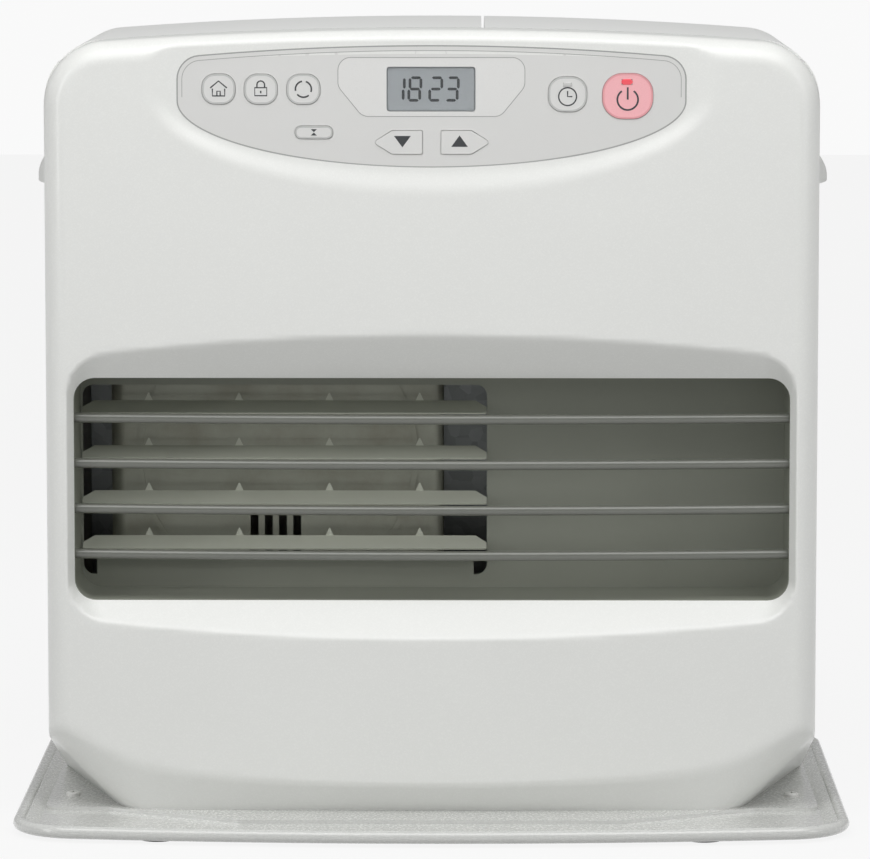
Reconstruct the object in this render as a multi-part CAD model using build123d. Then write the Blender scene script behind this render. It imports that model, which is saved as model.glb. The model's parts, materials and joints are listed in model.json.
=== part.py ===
from build123d import *
import math
import os

# Free-standing paraffin fan heater, millimetres, +Z up, front faces -Y.
# The origin is at the middle of the whole heater's footprint, on the floor.

# Overall body
body_front_y = -90.0
body_back_y = 152.0
body_half_width = 215.0
overall_height = 442.0
bow_radius = 2050.0
crown_radius = 2480.0
top_corner_radius = 33.0
front_edge_radius = 13.0
back_edge_radius = 12.5
skin_wall = 1.5
seam = 0.4
fit_gap = 0.3
touch_gap = 0.2

# Seams between the cabinet's panels
side_seam_y = -62.0
top_seam_y = -44.0
rear_seam_y = 140.0
top_seam_drop = 18.0
top_seam_z = overall_height - top_seam_drop

# Drip tray that the body stands on
tray_side_margin = 16.5
tray_half_width = body_half_width + tray_side_margin
tray_half_depth = 161.0
tray_front_radius = 1477.0
tray_corner_radius = 38.0
tray_back_corner_radius = 20.0
tray_bead_radius = 3.5
tray_bead_z = 5.5
tray_floor_z = 4.0
tray_sheet = 1.0
tray_slope_run = 9.0
plateau_z = 6.0
plateau_side_margin = 2.0
plateau_half_width = body_half_width + plateau_side_margin
plateau_front_y = -110.0
plateau_front_inset = 110.0
plateau_front_half = body_half_width - plateau_front_inset
plateau_shoulder_inset = 32.0
plateau_shoulder_half = body_half_width - plateau_shoulder_inset
plateau_shoulder_y = -71.0
plateau_back_y = 150.0
plateau_corner_radius = 9.0

# Feet and the screws that hold them
foot_radius = 11.0
front_pad_inset = 65.0
front_pad_x = body_half_width - front_pad_inset
front_pad_y = -132.0
tray_screw_inset = 11.0
tray_screw_x = body_half_width - tray_screw_inset
tray_screw_y = -34.0
rear_screw_inset = 35.0
rear_screw_x = body_half_width - rear_screw_inset
rear_screw_y = 136.0
tray_screw_head_radius = 4.1
tray_screw_head_height = 2.2
tray_screw_shank_radius = 2.0
screw_hole_gap = 0.15

# Chin: the undercut foot of the body, given at the plateau and higher up
chin_top_z = 52.0
chin_base_front_inset = 65.0
chin_base_front_half = body_half_width - chin_base_front_inset
chin_base_mid_y = -80.0
chin_base_end_y = -77.0
chin_base_side_inset = 37.0
chin_base_side_x = body_half_width - chin_base_side_inset
chin_base_side_y = -56.0
chin_base_wide_margin = 1.5
chin_base_wide_x = body_half_width + chin_base_wide_margin
chin_base_wide_y = 70.0
chin_top_front_inset = 45.0
chin_top_front_half = body_half_width - chin_top_front_inset
chin_top_mid_y = -109.0
chin_top_end_y = -89.0
chin_top_side_margin = 6.0
chin_top_side_x = body_half_width + chin_top_side_margin
chin_top_side_y = -66.0
chin_top_wide_margin = 47.0
chin_top_wide_x = body_half_width + chin_top_wide_margin

# Control panel set in a shallow dish under the top edge
plate_half_width = 140.0
plate_drop = 36.2
plate_mid_depth = 39.0
plate_mid_z = overall_height - plate_mid_depth
plate_top_margin = 8.7
plate_top_z = overall_height - plate_top_margin
dish_depth = 3.0
dish_floor_side_margin = 3.5
dish_floor_low_margin = 2.3
dish_wall_side_run = 12.5
dish_wall_low_run = 16.5
dish_wall_rise = 5.5
dish_inner_half = plate_half_width + dish_floor_side_margin
dish_inner_drop = plate_drop + dish_floor_low_margin
dish_inner_mid_z = plate_mid_z
dish_outer_half = dish_inner_half + dish_wall_side_run
dish_outer_drop = dish_inner_drop + dish_wall_low_run
dish_outer_mid_z = dish_inner_mid_z + dish_wall_rise
plate_top_radius = 1450.0
plate_corner_radius = 13.0
plate_thickness = 2.5
bezel_half_width = 51.4
bezel_rise = 24.0
bezel_top_z = plate_mid_z + bezel_rise
bezel_waist_rise = 8.0
bezel_waist_z = plate_mid_z + bezel_waist_rise
bezel_fall = 8.4
bezel_bottom_z = plate_mid_z - bezel_fall
bezel_bottom_half = 38.0
bezel_depth = 0.8
display_x = -0.2
display_rise = 6.6
display_z = plate_mid_z + display_rise
display_width = 48.5
display_height = 24.2
window_thickness = 1.6
board_front_y = -70.0
board_thickness = 1.6
board_side_inset = 6.0
board_half_width = plate_half_width - board_side_inset
board_fall = 28.0
board_bottom_z = plate_mid_z - board_fall
board_rise = 24.0
board_top_z = plate_mid_z + board_rise
switch_height = 4.0
switch_side = 6.0
button_travel = 0.8
button_proud = 0.5
button_gap = 0.25
button_flange = 1.2
stem_radius = 2.0
plate_post_radius = 3.0
plate_lip = 2.0
plate_lip_thickness = 1.4

# Warm air outlet in the front
outlet_side_margin = 15.6
outlet_half_width = body_half_width - outlet_side_margin
outlet_bottom_z = 123.5
outlet_top_z = 248.3
outlet_corner_radius = 12.0
outlet_y = -71.0
recess_mouth_y = -92.0
recess_side_margin = 7.5
recess_mouth_half_width = body_half_width - recess_side_margin
recess_mouth_bottom_z = 101.8
recess_mouth_top_z = 276.5
recess_mouth_radius = 33.0
outlet_sheet = 1.2
outlet_back_y = -18.0
burner_side_margin = 127.0
burner_x = burner_side_margin - body_half_width
louvre_end_gap = 1.3
louvre_left_x = louvre_end_gap - outlet_half_width
louvre_right_reach = 118.9
louvre_right_x = burner_x + louvre_right_reach
louvre_bottom_z = 130.8
louvre_top_z = 239.0
louvre_corner_radius = 6.0
louvre_lip_inset = 7.5
louvre_lip_height = 9.0
blade_count = 4
blade_pitch = 25.7
blade_top_z = 230.2
blade_run = 12.0
blade_drop = 6.0
blade_sheet = 1.0
dart_width = 5.0
dart_height = 4.4
dart_count = 4
dart_first_inset = 37.1
dart_first_x = louvre_left_x + dart_first_inset
dart_pitch = 51.2
rod_count = 4
rod_pitch = 25.5
rod_top_z = 225.3
rod_radius = 2.75
rod_mid_y = -74.0
rod_end_grip = 3.0

# Warm air duct, combustion chamber and the fan behind it
duct_side_gap = 11.0
duct_left_x = duct_side_gap - body_half_width
duct_right_reach = 124.0
duct_right_x = burner_x + duct_right_reach
duct_bottom_z = 95.0
duct_top_z = 285.0
duct_back_y = 116.6
duct_sheet = 1.0
chamber_side_gap = 21.0
chamber_left_x = duct_left_x + chamber_side_gap
chamber_right_gap = 30.0
chamber_right_x = duct_right_x - chamber_right_gap
chamber_front_y = -6.0
chamber_back_y = 94.0
chamber_bottom_z = 97.0
chamber_top_z = 262.0
chamber_sheet = 1.2
chamber_corner_radius = 8.0
emboss_x = burner_x
emboss_z = 197.0
emboss_radius = 80.0
emboss_width = 3.0
emboss_height = 1.0
slot_count = 4
slot_pitch = 8.1
slot_width = 4.6
slot_first_offset = 13.5
slot_first_x = burner_x - slot_first_offset
slot_bottom_z = 140.0
slot_top_z = 168.0
fan_x = burner_x
fan_z = 190.0
fan_ring_radius = 88.0
fan_blade_radius = 82.0
fan_hub_radius = 18.0
fan_blade_count = 5
fan_blade_width = 46.0
fan_blade_pitch_deg = 26.0
fan_front_y = 131.0
fan_depth = 14.0
fan_motor_radius = 29.0
fan_motor_front_y = 98.0
fan_motor_back_y = 126.0
fan_shaft_radius = 3.0
running_gap = 0.05
fan_arm_width = 12.0
guard_wire_radius = 1.2
guard_ring_count = 5
guard_spoke_count = 6
filter_half_width = 99.0
filter_front_y = 152.3
filter_back_y = 159.2
filter_mesh_y = 156.0
filter_border = 7.0
filter_ledge = 2.0
filter_mesh_count = 14
filter_bar = 1.0

# Burner under the chamber, its air box and its blower
burner_y = 45.0
pot_radius = 40.0
pot_wall = 2.0
pot_flange_radius = 46.0
pot_hole_count = 8
ring_radius = 24.0
ring_wall = 1.5
ring_top_z = 112.0
ring_hole_count = 16
air_box_half_width = 44.0
air_box_left_x = burner_x - air_box_half_width
air_box_right_x = burner_x + air_box_half_width
air_box_front_y = -2.0
air_box_back_y = 124.0
air_box_top_z = 48.0
air_box_sheet = 1.2
vaporizer_radius = 13.0
vaporizer_offset = 52.0
vaporizer_length = 54.0
vaporizer_left_x = burner_x + vaporizer_offset
vaporizer_right_x = vaporizer_left_x + vaporizer_length
vaporizer_z = 68.0
nozzle_radius = 6.0
nozzle_tip_radius = 2.4
electrode_body_radius = 4.0
electrode_rod_radius = 1.0
blower_offset = 80.0
blower_x = burner_x - blower_offset
blower_z = 44.0
blower_radius = 34.0
blower_front_y = 94.0
blower_back_y = 124.0
blower_sheet = 1.5
blower_wheel_radius = 26.0
blower_vane_count = 24
blower_shaft_radius = 2.5
blower_motor_radius = 20.0
blower_motor_front_y = 66.0

# Fuel: fixed sump, pump, pipes, well and the lift-out tank
well_duct_gap = 6.0
well_side_gap = 29.0
well_left_x = duct_right_x + well_duct_gap
well_right_x = body_half_width - well_side_gap
well_front_y = -14.0
well_back_y = 125.0
well_top_depth = 38.2
well_top_z = overall_height - well_top_depth
well_sheet = 1.0
well_shelf_z = 62.0
tank_gap = 4.0
tank_top_depth = 17.8
tank_top_z = well_top_z - tank_top_depth
tank_sheet = 1.0
tank_corner_radius = 14.0
tank_edge_radius = 5.0
filler_inset = 36.0
filler_x = well_right_x - filler_inset
filler_y = 55.0
neck_radius = 19.0
cap_radius = 23.0
cap_bottom_z = 48.0
sump_top_z = 44.0
sump_gap = 3.0
sump_edge_radius = 5.0
socket_radius = 25.0
socket_height = 14.0
pump_x = 75.0
pump_y = -45.0
pump_radius = 15.0
pump_top_z = 70.0
pipe_radius = 2.5
pipe_bend = 8.0
pipe_run_gap = 8.0
pipe_run_x = duct_right_x - pipe_run_gap
pipe_run_z = 82.0
handle_left_inset = 20.0
handle_right_inset = 26.0
handle_left_x = well_left_x + handle_left_inset
handle_right_x = well_right_x - handle_right_inset
handle_y = 56.0
handle_rise = 5.0
handle_z = tank_top_z + handle_rise
handle_reach = 26.0
handle_grip_radius = 4.5
handle_wire_radius = 2.0
handle_bend = 5.0
ear_sheet = 2.5

# Tank lid in the top, and its hinge
groove_margin = 13.6
groove_x = well_left_x - groove_margin
groove_width = 1.6
lid_gap = 0.5
lid_rim = 1.5
lid_rim_depth = 4.0
lid_rim_bottom_z = top_seam_z - lid_rim_depth
lid_corner_inset = 7.4
lid_corner_x = body_half_width - lid_corner_inset
hinge_y = 139.5
hinge_rise = 5.0
hinge_z = top_seam_z + hinge_rise
hinge_pin_radius = 2.0
knuckle_radius = 4.5
knuckle_width = 4.0
hinge_left_margin = 2.0
hinge_right_inset = 26.0
hinge_left_x = well_left_x - hinge_left_margin
hinge_right_x = well_right_x - hinge_right_inset
hinge_sweep_radius = 13.8
deck_z = well_top_z + touch_gap
deck_sheet = 1.5
deck_margin = 22.0
deck_left_x = well_left_x - deck_margin
deck_front_y = -50.0
deck_back_y = 137.5

# Carrying grips in the side panels
grip_y = 5.0
grip_half_length = 46.0
grip_top_depth = 70.0
grip_height = 17.6
grip_top_z = overall_height - grip_top_depth
grip_bottom_z = grip_top_z - grip_height
grip_reach = 8.5
grip_pocket_height = 32.4
grip_pocket_bottom_z = grip_bottom_z - grip_pocket_height
grip_pocket_depth = 24.0
grip_pocket_half = 42.0
grip_wall = 2.0

# Back of the body
rear_screw_column_inset = 17.0
rear_screw_column_x = body_half_width - rear_screw_column_inset
rear_screw_low_z = 30.0
rear_screw_mid_depth = 232.0
rear_screw_top_depth = 54.0
rear_screw_mid_z = overall_height - rear_screw_mid_depth
rear_screw_top_z = overall_height - rear_screw_top_depth
rear_screw_rows = (rear_screw_low_z, rear_screw_mid_z, rear_screw_top_z)
rear_flange_width = 16.0
rear_flange_rise = 10.0
rear_flange_top_z = rear_screw_top_z + rear_flange_rise
rear_flange_reach = 20.0
panel_screw_head_radius = 3.6
panel_screw_head_height = 2.0
panel_screw_shank_radius = 1.7
panel_screw_length = 9.0
spacer_inset = 65.0
spacer_x = body_half_width - spacer_inset
spacer_depth = 57.0
spacer_z = overall_height - spacer_depth
vent_inset = 95.0
vent_x = body_half_width - vent_inset
vent_z = 84.0
vent_count = 6
vent_pitch = 9.0
vent_length = 80.0
vent_height = 4.0
gland_inset = 39.0
gland_x = body_half_width - gland_inset
gland_z = 40.0
gland_radius = 7.5
gland_bore_radius = 4.0
sensor_inset = 35.0
sensor_x = body_half_width - sensor_inset
sensor_depth = 142.0
sensor_z = overall_height - sensor_depth

# Main circuit board under the outlet
main_board_left_x = -150.0
main_board_right_x = 0.0
main_board_y = -40.0
main_board_bottom_z = 14.0
main_board_top_z = 104.0

chassis_sheet = 1.5
chassis_top_z = plateau_z + chassis_sheet
chassis_seat_z = chassis_top_z + touch_gap


def block(x0, x1, y0, y1, z0, z1):
    centre = Pos((x0 + x1) / 2, (y0 + y1) / 2, (z0 + z1) / 2)
    return centre * Box(x1 - x0, y1 - y0, z1 - z0)


def rod_x(y, z, radius, x0, x1):
    return Pos((x0 + x1) / 2, y, z) * Rot(0, 90, 0) * Cylinder(radius, x1 - x0)


def rod_y(x, z, radius, y0, y1):
    return Pos(x, (y0 + y1) / 2, z) * Rot(90, 0, 0) * Cylinder(radius, y1 - y0)


def rod_z(x, y, radius, z0, z1):
    return Pos(x, y, (z0 + z1) / 2) * Cylinder(radius, z1 - z0)


def sagitta(radius, reach):
    return radius - math.sqrt(radius**2 - reach**2)


def bow(x):
    return sagitta(bow_radius, abs(x))


def crown(x):
    return sagitta(crown_radius, abs(x))


def front_prism(face, y_near, y_far):
    placed = Pos(0, y_far, 0) * (Plane.XZ * face)
    return extrude(placed, amount=y_far - y_near)


def round_box(x0, x1, y0, y1, z0, z1, radius):
    base = Pos((x0 + x1) / 2, (y0 + y1) / 2, z0) * RectangleRounded(x1 - x0, y1 - y0, radius)
    return extrude(base, amount=z1 - z0)


# The body's outer form, shrunk all round by an inset
def plan_face(inset):
    half = body_half_width + front_edge_radius
    front = body_front_y + inset
    corner = front + bow(half)
    back = body_back_y - inset
    arc = ThreePointArc((-half, corner), (0, front), (half, corner))
    sides = Polyline((half, corner), (half, back), (-half, back), (-half, corner))
    return make_face([arc, sides])


def front_view_face(inset):
    half = body_half_width - inset
    top = overall_height - inset
    shoulder = top - crown(half)
    arc = ThreePointArc((-half, shoulder), (0, top), (half, shoulder))
    sides = Polyline((half, shoulder), (half, plateau_z), (-half, plateau_z), (-half, shoulder))
    face = make_face([arc, sides])
    return fillet(face.vertices().group_by(Axis.Y)[-1], top_corner_radius - inset)


def round_outline_of(solid, face, radius):
    edges = [edge for edge in face.edges() if edge.center().Z > plateau_z + 1]
    return fillet(edges, radius)


def chin_outline(front_half, mid_y, end_y, side_x, side_y, wide_x, wide_y):
    corner_x = front_half + 0.7 * (side_x - front_half)
    corner_y = end_y + 0.3 * (side_y - end_y)
    back = body_back_y + front_edge_radius
    front = ThreePointArc((-front_half, end_y), (0, mid_y), (front_half, end_y))
    right = ThreePointArc((front_half, end_y), (corner_x, corner_y), (side_x, side_y))
    left = ThreePointArc((-side_x, side_y), (-corner_x, corner_y), (-front_half, end_y))
    points = [(side_x, side_y), (wide_x, wide_y), (wide_x, back)]
    points += [(-wide_x, back), (-wide_x, wide_y), (-side_x, side_y)]
    return make_face([front, right, Polyline(*points), left])


def chin_base_outline(inset):
    return chin_outline(
        chin_base_front_half - inset,
        chin_base_mid_y + inset,
        chin_base_end_y + inset,
        chin_base_side_x - inset,
        chin_base_side_y + inset,
        chin_base_wide_x - inset,
        chin_base_wide_y,
    )


def chin_hull(inset):
    upper = chin_outline(
        chin_top_front_half - inset,
        chin_top_mid_y + inset,
        chin_top_end_y + inset,
        chin_top_side_x - inset,
        chin_top_side_y + inset,
        chin_top_wide_x - inset,
        chin_base_wide_y,
    )
    return loft([Pos(0, 0, plateau_z) * chin_base_outline(inset), Pos(0, 0, chin_top_z) * upper], ruled=True)


def outer_form(inset):
    plan = extrude(Pos(0, 0, plateau_z) * plan_face(inset), amount=overall_height)
    view = extrude(Plane.XZ * front_view_face(inset), amount=2 * body_back_y, both=True)
    solid = plan & view
    solid = round_outline_of(solid, solid.faces().sort_by(Axis.Y)[0], front_edge_radius - inset)
    solid = round_outline_of(solid, solid.faces().sort_by(Axis.Y)[-1], back_edge_radius - inset)
    reach = 2 * body_half_width
    below = block(-reach, reach, -reach, reach, plateau_z - 1, chin_top_z)
    return solid - (below - chin_hull(inset))


# Hollows in the front face, as cutting tools that grow by a wall
def dish_point(half, drop, mid_z, turn):
    return half * math.cos(turn), mid_z - drop * math.sin(turn)


def dish_face(y_plane, grow):
    points = []
    steps = 8
    for step in range(steps + 1):
        turn = math.pi / 2 * step / steps
        outer = dish_point(dish_outer_half + grow, dish_outer_drop + grow, dish_outer_mid_z, turn)
        inner = dish_point(dish_inner_half + grow, dish_inner_drop + grow, dish_inner_mid_z, turn)
        outer_y = body_front_y + grow + bow(outer[0])
        inner_y = body_front_y + grow + dish_depth + bow(inner[0])
        share = (y_plane - outer_y) / (inner_y - outer_y)
        x = outer[0] + share * (inner[0] - outer[0])
        z = outer[1] + share * (inner[1] - outer[1])
        points.append((x, z))
    left = [(-x, z) for x, z in points]
    smile = left[:-1] + points[::-1]
    above = overall_height + front_edge_radius
    curve = Spline(*smile)
    rest = Polyline(smile[-1], (smile[-1][0], above), (smile[0][0], above), smile[0])
    return make_face([curve, rest])


def bow_slab(depth_near, depth_far):
    half = body_half_width + front_edge_radius
    near = body_front_y + depth_near
    far = body_front_y + depth_far
    rise = bow(half)
    front = ThreePointArc((-half, near + rise), (0, near), (half, near + rise))
    back = ThreePointArc((half, far + rise), (0, far), (-half, far + rise))
    right = Line((half, near + rise), (half, far + rise))
    left = Line((-half, far + rise), (-half, near + rise))
    face = make_face([front, right, back, left])
    return extrude(face, amount=overall_height + 2 * front_edge_radius)


def dish_tool(grow):
    near_y = body_front_y - 2
    far_y = body_front_y + dish_depth + bow(dish_inner_half) + 0.6
    near = Pos(0, near_y, 0) * (Plane.XZ * dish_face(near_y, grow))
    far = Pos(0, far_y, 0) * (Plane.XZ * dish_face(far_y, grow))
    funnel = loft([near, far], ruled=True)
    return funnel & bow_slab(-2 * front_edge_radius, dish_depth + grow)


def recess_tool(grow):
    mid_z = (recess_mouth_bottom_z + recess_mouth_top_z) / 2
    height = recess_mouth_top_z - recess_mouth_bottom_z
    mouth = RectangleRounded(
        2 * (recess_mouth_half_width + grow), height + 2 * grow, recess_mouth_radius + grow
    )
    mouth = Pos(0, recess_mouth_y, 0) * (Plane.XZ * (Pos(0, mid_z) * mouth))
    throat = Pos(0, outlet_y + grow, 0) * (Plane.XZ * outlet_face(grow))
    return loft([mouth, throat], ruled=True)


def outlet_face(grow):
    mid_z = (outlet_bottom_z + outlet_top_z) / 2
    height = outlet_top_z - outlet_bottom_z
    return Pos(0, mid_z) * RectangleRounded(
        2 * (outlet_half_width + grow), height + 2 * grow, outlet_corner_radius + grow
    )


def plate_face(grow):
    half = plate_half_width + grow
    top = plate_top_z + grow
    shoulder = top - sagitta(plate_top_radius, half)
    smile = EllipticalCenterArc((0, plate_mid_z), half, plate_drop + grow, 180, arc_size=180)
    arch = ThreePointArc((half, shoulder), (0, top), (-half, shoulder))
    right = Line((half, plate_mid_z), (half, shoulder))
    left = Line((-half, shoulder), (-half, plate_mid_z))
    face = make_face([smile, right, arch, left])
    corners = [v for v in face.vertices() if v.Y > plate_mid_z + 5]
    return fillet(corners, plate_corner_radius + grow)


outer_body = outer_form(0) - dish_tool(0) - recess_tool(0)
inner_body = outer_form(skin_wall) - dish_tool(skin_wall) - recess_tool(skin_wall)
skin = outer_body - inner_body

liner = outer_form(skin_wall + touch_gap)

beyond = 2 * overall_height
front_zone = block(-beyond, beyond, -beyond, side_seam_y, 0, beyond)
front_top_zone = block(-beyond, beyond, -beyond, top_seam_y, top_seam_z, beyond)
top_zone = block(-beyond, beyond, top_seam_y, beyond, top_seam_z, beyond)
rear_zone = block(-beyond, beyond, rear_seam_y, beyond, 0, top_seam_z)
hinge_pocket = rod_x(hinge_y, hinge_z, hinge_sweep_radius, groove_x, lid_corner_x)


def pull_back(zone, gap):
    size = zone.bounding_box()
    return block(
        size.min.X, size.max.X, size.min.Y - gap, size.max.Y + gap, size.min.Z - gap, size.max.Z + gap
    )


def panel_screw_places():
    return [(side * rear_screw_column_x, z) for side in (-1, 1) for z in rear_screw_rows]


# Cabinet panels, all cut from the one skin
def front_panel():
    panel = skin & (front_zone + front_top_zone)
    panel -= front_prism(outlet_face(0), recess_mouth_y, outlet_y + 4 * skin_wall)
    panel -= front_prism(plate_face(fit_gap), 2 * body_front_y, board_front_y)
    return panel


def grip_opening(side):
    half = grip_pocket_half + grip_wall + fit_gap
    low = grip_pocket_bottom_z - grip_wall - fit_gap
    high = grip_bottom_z + grip_wall + fit_gap
    near = side * (body_half_width - 5 * skin_wall)
    far = side * (body_half_width + 5 * skin_wall)
    return block(min(near, far), max(near, far), grip_y - half, grip_y + half, low, high)


def side_panel(side):
    half = block(0, beyond, -beyond, beyond, 0, beyond)
    if side < 0:
        half = block(-beyond, 0, -beyond, beyond, 0, beyond)
    panel = skin & half
    panel -= pull_back(front_zone, seam)
    panel -= pull_back(front_top_zone, seam)
    panel -= pull_back(top_zone, seam)
    panel -= pull_back(rear_zone, seam)
    panel -= grip_opening(side)
    inside = body_half_width - skin_wall
    low = chassis_top_z + 1
    high = rear_flange_top_z
    flange_y = rear_seam_y - rear_flange_reach
    bridge = block(inside - skin_wall, inside + 0.1, flange_y, rear_seam_y - seam, low, high)
    tab_y = body_back_y - skin_wall - 0.1
    edge_x = body_half_width - back_edge_radius
    tab = block(edge_x - rear_flange_width, edge_x, tab_y - skin_wall, tab_y, low, high)
    corner_y = body_back_y - back_edge_radius
    ring_outer = back_edge_radius - skin_wall - 0.1
    ring = rod_z(edge_x, corner_y, ring_outer, low, high) - rod_z(
        edge_x, corner_y, ring_outer - skin_wall, low - 1, high + 1
    )
    ring &= block(edge_x, beyond, corner_y, beyond, low, high)
    flange = bridge + tab + ring
    if side < 0:
        flange = mirror(flange, about=Plane.YZ)
    panel += flange
    panel -= hinge_pocket
    for x, z in panel_screw_places():
        panel -= rod_y(x, z, panel_screw_shank_radius, tab_y - 2 * skin_wall, beyond)
    return panel


def rear_panel():
    panel = skin & rear_zone
    panel -= rod_y(fan_x, fan_z, fan_ring_radius - 2, rear_seam_y, beyond)
    panel -= hinge_pocket
    panel -= rod_y(gland_x, gland_z, gland_radius + touch_gap, rear_seam_y, beyond)
    for x, z in panel_screw_places():
        panel -= rod_y(x, z, panel_screw_shank_radius + touch_gap, rear_seam_y, beyond)
    for row in range(vent_count):
        z = vent_z + row * vent_pitch
        panel -= block(
            vent_x - vent_length / 2,
            vent_x + vent_length / 2,
            rear_seam_y,
            beyond,
            z,
            z + vent_height,
        )
    for side in (-1, 1):
        near = fan_z + side * (filter_half_width + fit_gap)
        far = near + side * filter_ledge
        panel += block(
            fan_x - 30, fan_x + 30, body_back_y - 0.5, filter_back_y - 1, min(near, far), max(near, far)
        )
    return panel


def panel_screw(x, z):
    shank_end = body_back_y - panel_screw_length
    screw = rod_y(x, z, panel_screw_shank_radius, shank_end, body_back_y)
    head_end = body_back_y + panel_screw_head_height
    screw += rod_y(x, z, panel_screw_head_radius, body_back_y, head_end)
    cross = block(x - 2.2, x + 2.2, head_end - 1.2, head_end + 1, z - 0.5, z + 0.5)
    cross += block(x - 0.5, x + 0.5, head_end - 1.2, head_end + 1, z - 2.2, z + 2.2)
    return screw - cross


# Fixed left half of the top, with an edge turned down at the groove
def top_panel():
    edge = groove_x - groove_width / 2
    left_half = block(-beyond, edge, -beyond, beyond, 0, beyond)
    panel = (skin & top_zone & left_half) - pull_back(front_top_zone, seam)
    front = top_seam_y + seam
    back = body_back_y - back_edge_radius
    turned = block(edge - skin_wall, edge, front, back, lid_rim_bottom_z, overall_height)
    return panel + (turned & outer_body)


def hinge_places():
    return [(hinge_left_x, 1), (hinge_right_x, -1)]


def tank_lid():
    left = groove_x + groove_width / 2
    front = top_seam_y + lid_gap
    zone = block(left, beyond, front, beyond, top_seam_z + seam, beyond)
    lid = skin & zone
    rim_back = hinge_y - 2 * knuckle_radius
    rim_right = body_half_width - top_corner_radius
    rim = block(left, left + lid_rim, front, rim_back, lid_rim_bottom_z, overall_height)
    rim += block(left, rim_right, front, front + lid_rim, lid_rim_bottom_z, overall_height)
    for x, side in hinge_places():
        start = x + side * (knuckle_width / 2 + fit_gap)
        end = start + side * knuckle_width
        x0, x1 = min(start, end), max(start, end)
        rim += rod_x(hinge_y, hinge_z, knuckle_radius, x0, x1)
        rim += block(
            x0, x1, hinge_y - knuckle_radius, hinge_y + knuckle_radius, hinge_z, overall_height
        )
    lid += rim & outer_body
    for x, side in hinge_places():
        reach = 4 * knuckle_width
        lid -= rod_x(hinge_y, hinge_z, hinge_pin_radius + running_gap, x - reach, x + reach)
    return lid


# Deck under the lid, round the mouth of the tank well, with the two hinge ears
def tank_deck():
    right = body_half_width
    top = overall_height
    over = deck_z + deck_sheet
    deck = block(deck_left_x, right, deck_front_y, deck_back_y, deck_z, over)
    deck += block(deck_left_x, deck_left_x + deck_sheet, deck_front_y, hinge_y, deck_z, top)
    deck += block(deck_left_x, right, deck_front_y, deck_front_y + deck_sheet, deck_z, top)
    deck &= liner
    deck -= block(
        well_left_x + well_sheet,
        well_right_x - well_sheet,
        well_front_y + well_sheet,
        well_back_y - well_sheet,
        deck_z - 1,
        over + 1,
    )
    leg_y0 = well_back_y + 1.5
    leg_y1 = leg_y0 + knuckle_radius
    ear_top = hinge_z + knuckle_radius - 0.5
    for x, side in hinge_places():
        x0 = x - knuckle_width / 2
        x1 = x + knuckle_width / 2
        deck += block(x0, x1, leg_y0, leg_y1, deck_z + 0.5, ear_top)
        deck += block(x0, x1, leg_y0, hinge_y, hinge_z - knuckle_radius, ear_top)
        deck += rod_x(hinge_y, hinge_z, knuckle_radius, x0, x1)
        deck -= rod_x(hinge_y, hinge_z, hinge_pin_radius, x0 - 1, x1 + 1)
    return deck


def lid_hinge_pin(x, side):
    start = x - side * knuckle_width / 2
    end = x + side * (1.5 * knuckle_width + fit_gap)
    return rod_x(hinge_y, hinge_z, hinge_pin_radius, min(start, end), max(start, end))


# Carrying grip: a hood that stands out, over a finger pocket that goes in
def grip(side):
    wall_x = body_half_width
    hood_face = make_face(
        [
            Polyline(
                (wall_x - skin_wall, grip_bottom_z),
                (wall_x + grip_reach, grip_bottom_z),
                (wall_x + grip_reach, grip_bottom_z + 1.5),
            ),
            ThreePointArc(
                (wall_x + grip_reach, grip_bottom_z + 1.5),
                (wall_x + 0.72 * grip_reach, grip_bottom_z + 9),
                (wall_x + touch_gap, grip_top_z),
            ),
            Polyline(
                (wall_x + touch_gap, grip_top_z),
                (wall_x + touch_gap, grip_bottom_z + grip_wall),
                (wall_x - skin_wall, grip_bottom_z + grip_wall),
                (wall_x - skin_wall, grip_bottom_z),
            ),
        ]
    )
    placed = Pos(0, grip_y, 0) * (Plane.XZ * hood_face)
    hood = extrude(placed, amount=grip_half_length, both=True)
    lens = make_face(
        [
            ThreePointArc(
                (wall_x, grip_y - grip_half_length),
                (wall_x + grip_reach, grip_y),
                (wall_x, grip_y + grip_half_length),
            ),
            Polyline(
                (wall_x, grip_y + grip_half_length),
                (wall_x - 10, grip_y + grip_half_length),
                (wall_x - 10, grip_y - grip_half_length),
                (wall_x, grip_y - grip_half_length),
            ),
        ]
    )
    hood &= extrude(lens, amount=overall_height)
    hood -= block(wall_x - 10, wall_x, grip_y - 99, grip_y - grip_pocket_half - grip_wall, 0, 500)
    hood -= block(wall_x - 10, wall_x, grip_y + grip_pocket_half + grip_wall, grip_y + 99, 0, 500)
    outer = block(
        wall_x - grip_pocket_depth - grip_wall,
        wall_x + touch_gap,
        grip_y - grip_pocket_half - grip_wall,
        grip_y + grip_pocket_half + grip_wall,
        grip_pocket_bottom_z - grip_wall,
        grip_bottom_z + grip_wall,
    )
    pocket = block(
        wall_x - grip_pocket_depth,
        wall_x + 2 * grip_reach,
        grip_y - grip_pocket_half,
        grip_y + grip_pocket_half,
        grip_pocket_bottom_z,
        grip_bottom_z,
    )
    piece = (outer - pocket) + hood
    if side < 0:
        piece = mirror(piece, about=Plane.YZ)
    return piece


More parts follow.
